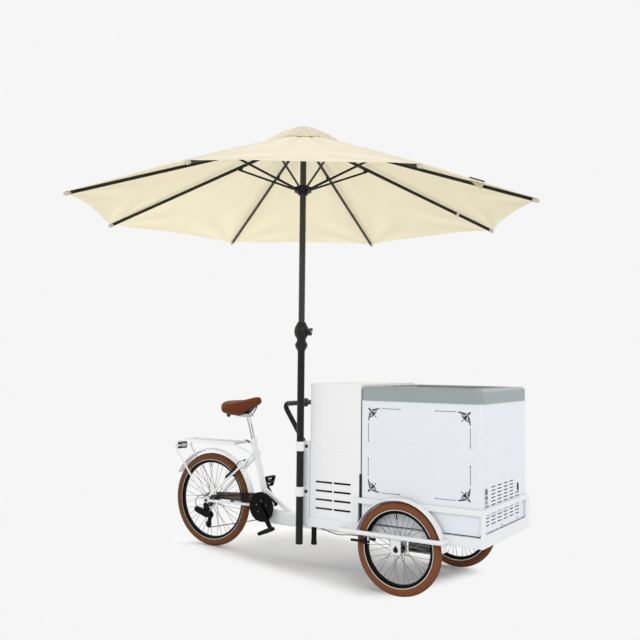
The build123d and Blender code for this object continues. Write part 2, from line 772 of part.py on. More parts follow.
def crank_set():
    drive = cross_rod(BB_X, BB_Z, CRANK_IN + CRANK_T, SPINDLE_R)
    drive += rod((BB_X, -CRANK_IN - CRANK_T, BB_Z), (BB_X, CHAIN_Y + RING_T, BB_Z), SPINDLE_R + 9)
    ring = sprocket(RING_TEETH) - Circle(SPIDER_R + 6)
    arms = Circle(SPINDLE_R + 12)
    for number in range(5):
        arms += Rot(0, 0, 72 * number + 18) * rect(0, SPIDER_R + 9, -8, 8)
    drive += along_y(Pos(BB_X, BB_Z) * (ring + arms), CHAIN_Y - RING_T / 2, CHAIN_Y + RING_T / 2)
    drive += along_y(Pos(BB_X, BB_Z) * Circle(DISC_R), -DISC_Y - GUARD_T, -DISC_Y)
    for number in range(5):
        angle = radians(72 * number + 18)
        x = BB_X + SPIDER_R * cos(angle)
        z = BB_Z + SPIDER_R * sin(angle)
        drive += rod((x, -DISC_Y - GUARD_T - 3, z), (x, CHAIN_Y + RING_T / 2, z), 4.5)
    for side, sign in ((RIGHT, 1), (LEFT, -1)):
        x, z = crank_end(sign)
        arm = make_hull([*(Pos(BB_X, BB_Z) * Circle(17)).edges(), *(Pos(x, z) * Circle(12)).edges()])
        drive += along_y(arm, side * CRANK_IN, side * (CRANK_IN + CRANK_T))
        pin_end = CRANK_IN + CRANK_T + PEDAL_W + 2 * SLIP
        drive += rod((x, side * CRANK_IN, z), (x, side * pin_end, z), PEDAL_PIN_R)
    return drive


def pedal(side, sign, tilt):
    """Cage pedal: barrel on the axle inside a frame with toothed edges."""
    x, z = crank_end(sign)
    near = side * (CRANK_IN + CRANK_T + SLIP)
    far = side * (CRANK_IN + CRANK_T + SLIP + PEDAL_W)
    frame = RectangleRounded(PEDAL_LEN, PEDAL_H, 5)
    body = along_y(frame, near, far)
    middle = (near + far) / 2
    for hole in (-1, 1):
        slot = Pos(hole * PEDAL_LEN / 4, middle, 0) * Box(PEDAL_LEN / 2 - 18, PEDAL_W - 20, 2 * PEDAL_H)
        body -= slot
    body -= rod((0, near - side, 0), (0, far + side, 0), PEDAL_PIN_R + RUN)
    return Pos(x, 0, z) * Rot(0, -tilt, 0) * body


def chain_path(shift):
    """Closed chain line round ring, cog and both pulleys, moved sideways by shift."""
    ax, az = REAR_AXLE[0], REAR_AXLE[2]
    wheels = (
        ((BB_X, BB_Z), pitch_radius(RING_TEETH), 1),
        ((ax, az), pitch_radius(COG_TEETH[0]), 1),
        ((ax + PULLEY_UP[0], az + PULLEY_UP[1]), pitch_radius(PULLEY_TEETH), -1),
        ((ax + PULLEY_LOW[0], az + PULLEY_LOW[1]), pitch_radius(PULLEY_TEETH), 1),
    )
    leave, arrive = [], []
    count = len(wheels)
    for number in range(count):
        (x1, z1), r1, turn1 = wheels[number]
        (x2, z2), r2, turn2 = wheels[(number + 1) % count]
        r1, r2 = r1 - turn1 * shift, r2 - turn2 * shift
        span = hypot(x2 - x1, z2 - z1)
        normal = atan2(z2 - z1, x2 - x1) + acos((turn2 * r2 - turn1 * r1) / span)
        leave.append((x1 - turn1 * r1 * cos(normal), z1 - turn1 * r1 * sin(normal)))
        arrive.append((x2 - turn2 * r2 * cos(normal), z2 - turn2 * r2 * sin(normal)))
    edges = []
    for number in range(count):
        (x, z), radius, turn = wheels[number]
        radius -= turn * shift
        start, end = arrive[number - 1], leave[number]
        a0 = atan2(start[1] - z, start[0] - x)
        sweep_angle = (atan2(end[1] - z, end[0] - x) - a0) * turn % (2 * pi)
        middle = a0 + turn * sweep_angle / 2
        edges.append(ThreePointArc(start, (x + radius * cos(middle), z + radius * sin(middle)), end))
        edges.append(Line(end, arrive[number]))
    return edges


def chain():
    """The chain's two rows of side plates, running either side of the teeth."""
    outline = make_face(chain_path(-CHAIN_PLATE_H / 2)) - make_face(chain_path(CHAIN_PLATE_H / 2))
    rows = []
    for side in (RIGHT, LEFT):
        inner = CHAIN_Y + side * CHAIN_PLATE_GAP / 2
        rows.append(along_y(outline, inner, inner + side * CHAIN_PLATE_T))
    return rows


def cassette():
    ax, az = REAR_AXLE[0], REAR_AXLE[2]
    bore = FREEHUB_R + RUN
    stack = None
    for number, teeth in enumerate(COG_TEETH):
        y = CHAIN_Y + number * COG_STEP
        cog = along_y(Pos(ax, az) * (sprocket(teeth) - Circle(bore)), y - COG_T / 2, y + COG_T / 2)
        stack = cog if stack is None else stack + cog
    inner = CHAIN_Y + (len(COG_TEETH) - 1) * COG_STEP
    return stack + along_y(Pos(ax, az) * (Circle(bore + 6) - Circle(bore)), CHAIN_Y, inner)


def derailleur():
    """Rear changer: hanger bolt, link body, cage with two pulleys, and its cable."""
    ax, az = REAR_AXLE[0], REAR_AXLE[2]
    up = (ax + PULLEY_UP[0], az + PULLEY_UP[1])
    low = (ax + PULLEY_LOW[0], az + PULLEY_LOW[1])
    out = CHAIN_Y - 6
    cage = make_hull([*(Pos(*up) * Circle(11)).edges(), *(Pos(*low) * Circle(10)).edges()])
    changer = along_y(cage, out, out - 2) + along_y(cage, CHAIN_Y + 6, CHAIN_Y + 8)
    for x, z in (up, low):
        changer += rod((x, out - 2, z), (x, CHAIN_Y + 8, z), 4)
        changer += along_y(Pos(x, z) * sprocket(PULLEY_TEETH), CHAIN_Y - RING_T / 2, CHAIN_Y + RING_T / 2)
    hang = (ax + 1, az - 28)
    face = -(DROPOUT_HALF + DROPOUT_T)
    shoulder = Pos(up[0] - 6, up[1] + 8) * Circle(22)
    link = make_hull([*(Pos(*hang) * Circle(13)).edges(), *shoulder.edges()])
    changer += along_y(link, face, face - 14)
    elbow = Pos(ax + CHANGER_ELBOW[0], az + CHANGER_ELBOW[1]) * Circle(18)
    body = make_hull([*elbow.edges(), *shoulder.edges()])
    changer += along_y(body, face - 3, face - 22)
    changer += rod((up[0], out, up[1]), (up[0], face - 14, up[1]), 12)
    changer += rod((hang[0], face, hang[1]), (hang[0], face - 18, hang[1]), 7)
    return changer


def gear_cable():
    """Cable loop from the chain stay's end round behind the axle to the changer."""
    ax, az = REAR_AXLE[0], REAR_AXLE[2]
    y = -(DROPOUT_HALF + DROPOUT_T + 7)
    points = [(ax + 70, y, az + 16), (ax + 20, y - 8, az + 36), (ax - 44, y - 12, az + 34),
              (ax - 84, y - 10, az - 10), (ax + CHANGER_ELBOW[0], y - 6, az + CHANGER_ELBOW[1] + 14)]
    return bent_tube(points, CABLE_R, [30, 36, 30])


# Rim brakes: an arm on each side of the wheel, on its boss, with a shoe at the rim


def brake_arm(shoe_reach):
    """Arm in its own frame: pivot at the origin, length along x, shoe towards +y."""
    outline = make_hull([*Circle(9).edges(), *(Pos(BRAKE_ARM_LEN, -4) * Circle(6)).edges()])
    arm = along_z(outline, 0, BRAKE_ARM_T)
    middle = BRAKE_ARM_T / 2
    arm += rod((BRAKE_PAD_AT, 0, middle), (BRAKE_PAD_AT, shoe_reach - 2, middle), 4)
    shoe = rounded(BRAKE_PAD_AT - 5, BRAKE_PAD_AT + 5, shoe_reach - BRAKE_PAD_T, shoe_reach, 2)
    arm += along_z(shoe, middle - BRAKE_PAD_LEN / 2, middle + BRAKE_PAD_LEN / 2)
    return arm - rod((0, 0, -1), (0, 0, BRAKE_ARM_T + 1), BRAKE_BOSS_R + RUN)


def rear_brake_arm(side):
    centre, along, normal = brake_boss(side)
    reach = abs(centre.Y) - RIM_W / 2 - BRAKE_PAD_GAP
    arm = brake_arm(reach)
    if side == LEFT:
        arm = mirror(arm, about=Plane.XZ)
    origin = centre + normal * (SEAT_STAY_R + SEAT)
    return Plane(origin=origin, x_dir=along, z_dir=normal) * arm


def front_boss_x():
    return BRAKE_PAD_AT - brake_track(FRONT_WHEEL_R)


def front_boss_y(side, place):
    """Boss beside the wheel: place is -1 inboard and 1 outboard."""
    return side * (HALF_TRACK + place * (HUB_HALF + 3))


def front_brakes():
    pieces = []
    for side in (RIGHT, LEFT):
        for place in (-1, 1):
            arm = brake_arm(HUB_HALF + 3 - RIM_W / 2 - BRAKE_PAD_GAP)
            facing = -side * place
            turned = Rot(0, 0, 180) * arm
            if facing == 1:
                turned = mirror(turned, about=Plane.XZ)
            spot = (front_boss_x(), front_boss_y(side, place), FRONT_BRAKE_Z - BRAKE_ARM_T)
            pieces.append(Pos(*spot) * turned)
    return pieces


def brake_cable():
    """Brake cable from the right-hand brake back along the rail to the support leg."""
    x = front_boss_x() - BRAKE_ARM_LEN
    low = CHASSIS_BOTTOM - CABLE_R - 0.3
    points = [(x + 4, front_boss_y(RIGHT, -1) - 6, FRONT_BRAKE_Z + CABLE_R),
              (x - 60, -CHASSIS_HALF + 6, low - 14), (x - 130, -CHASSIS_HALF + 12, low - 24),
              (x - 200, -CHASSIS_HALF + 14, low - 14),
              (LEG_X + LEG_R + CABLE_R + 28, -CHASSIS_HALF + 15, low)]
    return bent_tube(points, CABLE_R, [90, 200, 150])


# Chassis: welded rails, front frame, posts, wheel rails, axle plates and fenders


def wheel_rail_x():
    clear = FRONT_WHEEL_R + WHEEL_RAIL_GAP
    return sqrt(clear ** 2 - (WHEEL_RAIL_Z - FRONT_WHEEL_R) ** 2)


def fender(side):
    strip = crowned_strip(FRONT_WHEEL_R + FENDER_GAP, FENDER_W, FENDER_CROWN, FENDER_T)
    foot = degrees(asin((WHEEL_RAIL_Z - FRONT_WHEEL_R) / (FRONT_WHEEL_R + FENDER_GAP)))
    y = side * (CHASSIS_HALF - 1 + FENDER_W / 2)
    return Pos(0, y, FRONT_WHEEL_R) * arch(strip, FENDER_TAB, 180 - foot)


def wheel_rail(side):
    x = wheel_rail_x()
    y = side * (HALF_TRACK + HUB_HALF + AXLE_PLATE_T + WHEEL_RAIL_R / 3)
    inner = side * (CHASSIS_HALF - 8)
    back = -x - WHEEL_RAIL_BACK
    corners = [(back, inner), (back, y), (x, y), (x, inner)]
    return bent_tube([(*corner, WHEEL_RAIL_Z) for corner in corners], WHEEL_RAIL_R, 26)


def chassis_frame():
    inner = CHASSIS_HALF - RAIL_W
    front_back = CHASSIS_FRONT - FRAME_T
    post = SIDE_POST_X - SIDE_POST_W / 2, SIDE_POST_X + SIDE_POST_W / 2
    axle_plate = rounded(-AXLE_PLATE_W / 2, AXLE_PLATE_W / 2, FRONT_WHEEL_R - AXLE_PLATE_DROP,
                         CHASSIS_BOTTOM + 20, 10)
    frame = None
    for side in (RIGHT, LEFT):
        edges = side * (CHASSIS_HALF - FRAME_T), side * CHASSIS_HALF
        rail_y = side * (CHASSIS_HALF - RAIL_W / 2)
        middle_z = (CHASSIS_BOTTOM + CHASSIS_DECK) / 2
        section = Pos(rail_y, middle_z) * RectangleRounded(RAIL_W, CHASSIS_DECK - CHASSIS_BOTTOM, 4)
        rail = along_x(section, CHASSIS_REAR, CHASSIS_FRONT)
        frame = rail if frame is None else frame + rail
        top_rail = rounded(SIDE_POST_X, CHASSIS_FRONT, TOP_RAIL_TOP - TOP_RAIL_H, TOP_RAIL_TOP, 4)
        frame += along_y(top_rail, *edges)
        frame += along_y(rect(*post, CHASSIS_DECK - 4, TOP_RAIL_TOP), *edges)
        frame += along_y(rect(front_back, CHASSIS_FRONT, CHASSIS_BOTTOM, TOP_RAIL_TOP),
                         side * (CHASSIS_HALF - FRONT_POST_W), side * CHASSIS_HALF)
        frame += wheel_rail(side)
        frame += fender(side)
        for face in (CHASSIS_HALF - AXLE_PLATE_T, HALF_TRACK + HUB_HALF):
            frame += along_y(axle_plate, side * face, side * (face + AXLE_PLATE_T))
        for place in (-1, 1):
            boss = front_boss_x(), front_boss_y(side, place)
            frame += rod((*boss, FRONT_BRAKE_Z - BRAKE_ARM_T - 4), (*boss, WHEEL_RAIL_Z), BRAKE_BOSS_R)
    for low, high in ((CHASSIS_BOTTOM, FRONT_LOW_TOP), (TOP_RAIL_TOP - FRONT_TOP_H, TOP_RAIL_TOP)):
        frame += along_x(rounded(-CHASSIS_HALF, CHASSIS_HALF, low, high, 4), front_back, CHASSIS_FRONT)
    for x in (CHASSIS_REAR, (CABINET_FRONT + FREEZER_REAR) / 2 - RAIL_W / 2, front_back - RAIL_W):
        frame += along_x(rect(-inner - 1, inner + 1, CHASSIS_BOTTOM + 10, CHASSIS_DECK), x, x + RAIL_W)
    corner = rect(CHASSIS_REAR, CHASSIS_REAR + CORNER_POST, -CHASSIS_HALF, -CHASSIS_HALF + CORNER_POST)
    frame += along_z(corner, CHASSIS_BOTTOM + 10, CORNER_POST_TOP)
    frame += kingpin(inner + 1)
    for side in (RIGHT, LEFT):
        near = side * (CHASSIS_HALF - 2 * AXLE_PLATE_T)
        far = side * (HALF_TRACK + HUB_HALF + 2 * AXLE_PLATE_T)
        frame -= rod((0, near, FRONT_WHEEL_R), (0, far, FRONT_WHEEL_R), AXLE_R + RUN)
    return frame


def kingpin(half):
    """Steering pin under its plate, with the thrust collar above the beam and the nut below."""
    plate = rect(PIVOT_X - 2 * KINGPIN_HEAD_R, PIVOT_X + 2 * KINGPIN_HEAD_R, -half, half)
    nut_top = BEAM_TOP - BEAM_H - SLIP
    nut_low = nut_top - KINGPIN_NUT_T
    pin = along_z(plate, CHASSIS_BOTTOM, CHASSIS_BOTTOM + 12)
    pin += along_z(Pos(PIVOT_X, 0) * Circle(KINGPIN_R), nut_low, CHASSIS_BOTTOM + 2)
    pin += along_z(Pos(PIVOT_X, 0) * Circle(KINGPIN_HEAD_R), BEAM_TOP + SLIP, CHASSIS_BOTTOM + 2)
    return pin + along_z(Pos(PIVOT_X, 0) * RegularPolygon(KINGPIN_NUT_R, 6), nut_low, nut_top)


def front_axles():
    axles = []
    for side in (RIGHT, LEFT):
        near = CHASSIS_HALF - AXLE_PLATE_T
        far = HALF_TRACK + HUB_HALF + AXLE_PLATE_T
        ends = side * (near - NUT_T), side * (far + NUT_T + 4)
        axle = rod((0, ends[0], FRONT_WHEEL_R), (0, ends[1], FRONT_WHEEL_R), AXLE_R)
        axle += hex_nut(0, FRONT_WHEEL_R, side * near, side * (near - NUT_T))
        axle += hex_nut(0, FRONT_WHEEL_R, side * far, side * (far + NUT_T))
        axles.append(axle)
    return axles


def support_leg():
    y = -(CHASSIS_HALF - RAIL_W / 2)
    leg = rod((LEG_X, y, LEG_BOTTOM), (LEG_X, y, CHASSIS_BOTTOM), LEG_R)
    return leg + rod((LEG_X, y, LEG_BOTTOM), (LEG_X, y, LEG_BOTTOM + 18), LEG_R + 2)


# Freezer: foamed box with a stepped tub, machine bay, liner, collar and sliding lids


def tub(gap):
    """Space inside the walls, shrunk by gap on the sides and below."""
    rear = FREEZER_REAR + FREEZER_WALL + gap
    front = FREEZER_FRONT - FREEZER_WALL - gap
    half = FREEZER_HALF - FREEZER_WALL - gap
    profile = polygon([
        (rear, FREEZER_TOP + 1), (rear, CHASSIS_DECK + FREEZER_FLOOR + gap),
        (WELL_FRONT_X - gap, CHASSIS_DECK + FREEZER_FLOOR + gap), (WELL_FRONT_X - gap, SHELF_Z + gap),
        (front, SHELF_Z + gap), (front, FREEZER_TOP + 1),
    ])
    return along_y(profile, -half, half)


def grille_slots():
    """Cooling slots through the front skin, in two blocks of rows, and the latch slot."""
    slots = Pos(LATCH_Y, LATCH_Z) * SlotOverall(LATCH_L, LATCH_W, 90)
    for low, rows in ((GRILLE_UPPER_Z, GRILLE_UPPER), (GRILLE_LOWER_Z, GRILLE_LOWER)):
        for row, (first, last) in enumerate(rows):
            for column in range(first, last):
                y = GRILLE_FIRST_Y + column * GRILLE_PITCH_Y
                slots += Pos(y, low + row * GRILLE_PITCH_Z) * SlotOverall(GRILLE_SLOT_L, GRILLE_SLOT_H)
    return along_x(slots, FREEZER_FRONT - 2 * BAY_SKIN, FREEZER_FRONT + 1)


def switch_strip():
    """Raised bezel for the switches and gauge beside the grille, with recessed windows."""
    left, right = SWITCH_Y - SWITCH_W / 2, SWITCH_Y + SWITCH_W / 2
    face = FREEZER_FRONT + SWITCH_T
    strip = along_x(rounded(left, right, SWITCH_LOW, SWITCH_HIGH, 4), FREEZER_FRONT - 1, face)
    for low, high in SWITCH_WINDOWS:
        strip -= along_x(rounded(left + 5, right - 5, low, high, 2), face - 1.5, face + 1)
    return strip


def freezer_body():
    outline = rounded(FREEZER_REAR, FREEZER_FRONT, -FREEZER_HALF, FREEZER_HALF, FREEZER_EDGE)
    shell = along_z(outline, CHASSIS_DECK, FREEZER_TOP)
    bay_half = FREEZER_HALF - FREEZER_WALL / 2
    bay = rect(BAY_REAR_X, FREEZER_FRONT - BAY_SKIN, CHASSIS_DECK + BAY_SKIN, BAY_TOP)
    shell = shell - tub(0) - along_y(bay, -bay_half, bay_half) - grille_slots() + switch_strip()
    for side in (RIGHT, LEFT):
        slit = rect(PLINTH_REAR_X, FREEZER_FRONT - FREEZER_EDGE, CHASSIS_DECK - 1, CHASSIS_DECK + PLINTH_H)
        shell -= along_y(slit, side * (FREEZER_HALF - PLINTH_IN), side * (FREEZER_HALF + 1))
    return shell


def freezer_liner():
    box = rect(FREEZER_REAR, FREEZER_FRONT, -FREEZER_HALF, FREEZER_HALF)
    return (tub(0) - tub(LINER_T)) & along_z(box, CHASSIS_DECK, FREEZER_TOP)


def freezer_cap():
    """Moulded collar: rounded outer edge, window with two stepped lid tracks."""
    rear, front = FREEZER_REAR - CAP_OVER, FREEZER_FRONT + CAP_OVER
    half = FREEZER_HALF + CAP_OVER
    top = FREEZER_TOP + CAP_H
    collar = along_z(rounded(rear, front, -half, half, CAP_ROUND), FREEZER_TOP, top)
    collar = fillet(collar.faces().sort_by(Axis.Z)[-1].edges(), CAP_EDGE)
    upper = LID_Z + LID_T + 2 * SLIP
    ledge = 2 * TRACK_STEP
    steps = ((0, upper, top + 1), (TRACK_STEP, LID_Z, upper + 1),
             (TRACK_STEP + ledge, FREEZER_TOP - 1, LID_Z + 1))
    for inset, low, high in steps:
        end = 0 if inset < ledge else ledge
        hole = rect(WINDOW_REAR + end, WINDOW_FRONT - end, -WINDOW_HALF + inset, WINDOW_HALF - inset)
        collar -= along_z(hole, low, high)
    return collar


def lid(upper):
    """Flat glass with a finger grip along its outer end."""
    low = LID_Z + SLIP / 2 if not upper else LID_Z + LID_T + 2 * SLIP + SLIP / 2
    half = WINDOW_HALF - SLIP - (0 if upper else TRACK_STEP)
    if upper:
        rear = WINDOW_REAR + SLIP
        grip = rear + LID_GRIP_W / 2 + 4
    else:
        rear = WINDOW_FRONT - SLIP - LID_LEN
        grip = rear + LID_LEN - LID_GRIP_W / 2 - 4
    glass = along_z(rounded(rear, rear + LID_LEN, -half, half, 6), low, low + LID_T)
    top = low + LID_T
    handle = rounded(grip - LID_GRIP_W / 2, grip + LID_GRIP_W / 2, top - 1, top + LID_GRIP_H, 3)
    return glass + along_y(handle, -half / 2, half / 2)


def compressor():
    """Sealed compressor on its base rails in the machine bay, with the condenser beside it."""
    floor = CHASSIS_DECK + BAY_SKIN
    x = (BAY_REAR_X + FREEZER_FRONT) / 2
    pan = along_z(rounded(x - 95, x + 95, -220, 40, 10), floor, floor + 14)
    pot = along_z(Pos(x, -90) * Ellipse(78, 66), floor + 14, floor + 150)
    pot = fillet(pot.faces().sort_by(Axis.Z)[-1].edges(), 32)
    coil = along_z(rounded(x - 95, x + 95, 70, 250, 6), floor, floor + 190)
    for number in range(5):
        z = floor + 25 + 35 * number
        coil -= along_z(rect(x - 96, x + 96, 69, 80), z, z + 18)
        coil -= along_z(rect(x - 96, x + 96, 240, 251), z, z + 18)
    return [pan + pot, coil]


# Cabinet: sheet-metal shell with louvres, a hinged door on the left and the power pack


def hinge_spots():
    return DOOR_BOTTOM + 90, DOOR_TOP - 90


def hinge_axis():
    return CABINET_REAR + HINGE_R + 1, FREEZER_HALF + HINGE_R + SLIP


def cabinet_body():
    wall = CABINET_WALL
    half = FREEZER_HALF
    shell = along_z(rounded(CABINET_REAR, CABINET_FRONT, -half, half, 6), CHASSIS_DECK, CABINET_TOP)
    inside = rect(CABINET_REAR + wall, CABINET_FRONT - wall, -half + wall, half - wall)
    shell -= along_z(inside, CHASSIS_DECK + wall, CABINET_TOP - wall)
    lip = CABINET_LIP
    doorway = rect(CABINET_REAR + lip, CABINET_FRONT - lip, DOOR_BOTTOM + lip / 2, DOOR_TOP - lip / 2)
    shell -= along_y(doorway, 0, half + 1)
    middle = (CABINET_REAR + CABINET_FRONT) / 2 - 10
    slit = (LOUVRE_L - LOUVRE_BRIDGE) / 2
    for number in range(LOUVRES):
        z = LOUVRE_LOW_Z + number * LOUVRE_PITCH
        for x in (middle - LOUVRE_L / 2 + slit / 2, middle + LOUVRE_L / 2 - slit / 2):
            shell -= along_y(Pos(x, z) * SlotOverall(slit, LOUVRE_H), -half - 1, -half + 3 * wall)
    x, y = hinge_axis()
    for z in hinge_spots():
        shell += along_z(Pos(x, y) * Circle(HINGE_PIN_R), z - HINGE_LEN / 2, z + HINGE_LEN / 2)
        knuckle = Pos(x, y) * Circle(HINGE_R) + rect(x - HINGE_R, x, half - 1, y)
        for low in (z - HINGE_LEN / 2 - 8, z + HINGE_LEN / 2 - 8):
            shell += along_z(knuckle, low, low + 16)
    return shell


def cabinet_door():
    x, y = hinge_axis()
    face = FREEZER_HALF + SLIP
    rear = x + HINGE_R + SLIP
    door = along_y(rounded(rear, CABINET_FRONT - 8, DOOR_BOTTOM, DOOR_TOP, 6), face, face + DOOR_T)
    for z in hinge_spots():
        low, high = z - HINGE_LEN / 2 + 8 + SLIP, z + HINGE_LEN / 2 - 8 - SLIP
        leaf = Pos(x, y) * Circle(HINGE_R) + rect(x, rear + 26, face, face + DOOR_T)
        door += along_z(leaf - Pos(x, y) * Circle(HINGE_PIN_R + RUN), low, high)
    knob_x = CABINET_FRONT - 40
    knob_z = (DOOR_BOTTOM + DOOR_TOP) / 2
    door += along_y(Pos(knob_x, knob_z) * SlotOverall(70, 18, 90), face + DOOR_T, face + DOOR_T + 7)
    return door


def controller():
    """Finned drive controller under the right-hand rail, behind the wheel."""
    top = CHASSIS_BOTTOM - SEAT
    outer = -CHASSIS_HALF + 4
    case = rounded(CONTROLLER_X, CONTROLLER_X + CONTROLLER_L, outer, outer + CONTROLLER_W, 4)
    body = along_z(case, top - CONTROLLER_H, top)
    for number in range(CONTROLLER_FINS):
        x = CONTROLLER_X + CONTROLLER_L * (number + 0.5) / CONTROLLER_FINS
        groove = rect(x - 2.5, x + 2.5, outer - 1, outer + 9)
        body -= along_z(groove, top - CONTROLLER_H - 1, top - 10)
    return body


def power_pack():
    """Battery on the cabinet floor with the inverter on top, and the controller below deck."""
    floor = CHASSIS_DECK + CABINET_WALL
    x = (CABINET_REAR + CABINET_FRONT) / 2
    battery = along_z(rounded(x - 125, x + 125, -180, 150, 12), floor, floor + 180)
    battery += along_z(rounded(x - 60, x - 40, -60, 30, 8), floor + 180, floor + 186)
    inverter = along_z(rounded(x - 30, x + 110, -150, 130, 6), floor + 180, floor + 245)
    for number in range(6):
        y = -120 + 46 * number
        inverter -= along_z(rect(x - 31, x + 111, y, y + 14), floor + 235, floor + 246)
    return [battery, inverter, controller()]


# Handlebar on the cabinet's rear face, with the brake lever's perch


def handlebar():
    foot_x = CABINET_REAR - SEAT
    runs = []
    for side in (RIGHT, LEFT):
        y = side * BAR_HALF
        leg = [(foot_x, y, BAR_FOOT_Z), (foot_x - BAR_STUB, y, BAR_FOOT_Z), (BAR_TOP_X, y, BAR_TOP_Z)]
        runs += leg if side == RIGHT else leg[::-1]
    bar = bent_tube(runs, BAR_R, [BAR_BEND / 1.5, BAR_BEND, BAR_BEND, BAR_BEND / 1.5])
    for side in (RIGHT, LEFT):
        y = side * BAR_HALF
        bar += rod((foot_x, y, BAR_FOOT_Z), (foot_x - 5, y, BAR_FOOT_Z), FLANGE_PLATE_R)
    sides = PERCH_Y - PERCH_W / 2, PERCH_Y + PERCH_W / 2
    perch = along_y(Pos(BAR_TOP_X, BAR_TOP_Z) * Circle(BAR_R + PERCH_T), *sides)
    lobes = [Pos(BAR_TOP_X, BAR_TOP_Z + lobe * HOUSING_LOBE_Z) * Circle(HOUSING_LOBE_R) for lobe in (-1, 1)]
    housing = make_hull([*lobes[0].edges(), *lobes[1].edges()])
    perch += along_y(housing, sides[0], sides[0] + HOUSING_L)
    reach = BAR_TOP_X + LEVER_REACH
    arm = along_y(rect(BAR_TOP_X, reach, BAR_TOP_Z - LEVER_T, BAR_TOP_Z + LEVER_T), *sides)
    gap = LEVER_T / 2 + SLIP
    slot = rect(BAR_TOP_X + BAR_R + PERCH_T + 2, reach + 1, BAR_TOP_Z - gap, BAR_TOP_Z + gap)
    slot = along_y(slot, PERCH_Y - PERCH_W, PERCH_Y + PERCH_W)
    pin_x = BAR_TOP_X + LEVER_REACH - 9
    pin = rod((pin_x, PERCH_Y, BAR_TOP_Z - LEVER_T), (pin_x, PERCH_Y, BAR_TOP_Z + LEVER_T), PIN_R)
    return bar + (perch + arm - slot + pin)


def brake_lever():
    """Lever blade in front of the bar, on the perch pin, running towards the right-hand grip."""
    pin_x = BAR_TOP_X + LEVER_REACH - 9
    eye = Pos(pin_x, PERCH_Y) * Circle(EYE_R - 1)
    end = Pos(pin_x + 12, PERCH_Y - LEVER_LEN) * Circle(LEVER_W / 2)
    blade = make_hull([*eye.edges(), *end.edges()])
    tip = Pos(pin_x + 14, PERCH_Y - LEVER_LEN - 3) * Circle(LEVER_W / 2 + 2)
    lever = along_z(blade + tip, BAR_TOP_Z - LEVER_T / 2, BAR_TOP_Z + LEVER_T / 2)
    hole = Pos(pin_x, PERCH_Y) * Circle(PIN_R + RUN)
    return lever - along_z(hole, BAR_TOP_Z - LEVER_T, BAR_TOP_Z + LEVER_T)


# Parasol: clamped lower pole with its coupling, telescoping mast, crown, runner, ribs, struts


def pole_clamps():
    straps = []
    face = -CHASSIS_HALF
    front = CHASSIS_REAR + CORNER_POST + 2
    bolt_x = front - 10
    for z in CLAMP_Z:
        low, high = z - CLAMP_STRAP_H / 2, z + CLAMP_STRAP_H / 2
        outline = Pos(POLE_X, POLE_Y) * Circle(POLE_R + CLAMP_STRAP_T)
        outline += rect(POLE_X, front, face - CLAMP_PLATE_T, face)
        outline -= Pos(POLE_X, POLE_Y) * Circle(POLE_R + SEAT)
        outline -= rect(POLE_X - 2 * POLE_R, front + 1, face, 0)
        strap = along_z(outline, low, high)
        straps.append(strap)
        bolt = Pos(bolt_x, z) * RegularPolygon(CLAMP_BOLT_R, 6)
        straps.append(along_y(bolt, face - CLAMP_PLATE_T, face - CLAMP_PLATE_T - 6))
    return straps


def coupling():
    """Two-lobed coupling turned about the pole: the mast's guide and the clamp screw's seat."""
    b, h, r = COUPLING_BOTTOM, COUPLING_H, COUPLING_R
    neck = POLE_R + 5
    profile = [
        (POLE_R + SEAT, b), (0.84 * r, b + 0.17 * h), (0.84 * r, b + 0.24 * h), (neck, b + 0.36 * h),
        (neck, b + 0.42 * h), (0.93 * r, b + 0.55 * h), (r, b + 0.68 * h), (0.90 * r, b + 0.82 * h),
        (0.66 * r, b + 0.93 * h), (MAST_R + 4, b + h), (MAST_R + RUN, b + h),
        (MAST_R + RUN, POLE_TOP + SEAT), (POLE_R + SEAT, POLE_TOP + SEAT),
    ]
    body = revolve(Plane.XZ * polygon(profile), axis=Axis.Z)
    direction = Vector(cos(radians(KNOB_AZIMUTH)), sin(radians(KNOB_AZIMUTH)), 0)
    screw_z = b + 0.68 * h
    inner = direction * (MAST_R + 2) + Vector(0, 0, screw_z)
    outer = direction * (r + 6) + Vector(0, 0, screw_z)
    boss = rod(direction * (r - 6) + Vector(0, 0, screw_z), direction * (r + 4) + Vector(0, 0, screw_z), 13)
    return Pos(POLE_X, POLE_Y) * (body + boss - rod(inner, outer, 5 + RUN))


def lower_pole():
    tube = Circle(POLE_R) - Circle(POLE_R - POLE_WALL)
    pole = along_z(Pos(POLE_X, POLE_Y) * tube, POLE_BOTTOM, POLE_TOP)
    plug = along_z(Pos(POLE_X, POLE_Y) * Circle(POLE_R), POLE_BOTTOM, POLE_BOTTOM + 14)
    return [pole + plug, coupling()]


def pole_knob():
    """Lobed clamp screw in the coupling."""
    reach = COUPLING_R + 4 + SLIP
    screw = rod((MAST_R + 3, 0, 0), (reach + KNOB_T, 0, 0), 5)
    outline = Circle(0.6 * KNOB_R)
    for number in range(3):
        angle = radians(120 * number + 40)
        lobe = Pos(0.72 * KNOB_R * cos(angle), 0.72 * KNOB_R * sin(angle)) * Circle(0.42 * KNOB_R)
        outline += make_hull([*lobe.edges(), *Circle(0.34 * KNOB_R).edges()])
    knob = screw + along_x(outline, reach, reach + KNOB_T)
    return Pos(POLE_X, POLE_Y, COUPLING_BOTTOM + 0.68 * COUPLING_H) * Rot(0, 0, KNOB_AZIMUTH) * knob


def crown_z():
    return CANOPY_RIM_Z + (CANOPY_R - HINGE_RADIUS) * tan(radians(RIB_SLOPE))


def slotted_disc(radius, height, sleeve):
    """Disc about the pole with one radial slot for each rib or strut."""
    disc = along_z(Circle(radius), -height / 2, height / 2)
    slot = rect(sleeve, radius + 1, -TONGUE_T / 2 - SLIP, TONGUE_T / 2 + SLIP)
    for number in range(RIBS):
        cut = along_z(slot, -height, height)
        disc -= Rot(0, 0, RIB_AZIMUTH + 360 / RIBS * number) * cut
    return disc


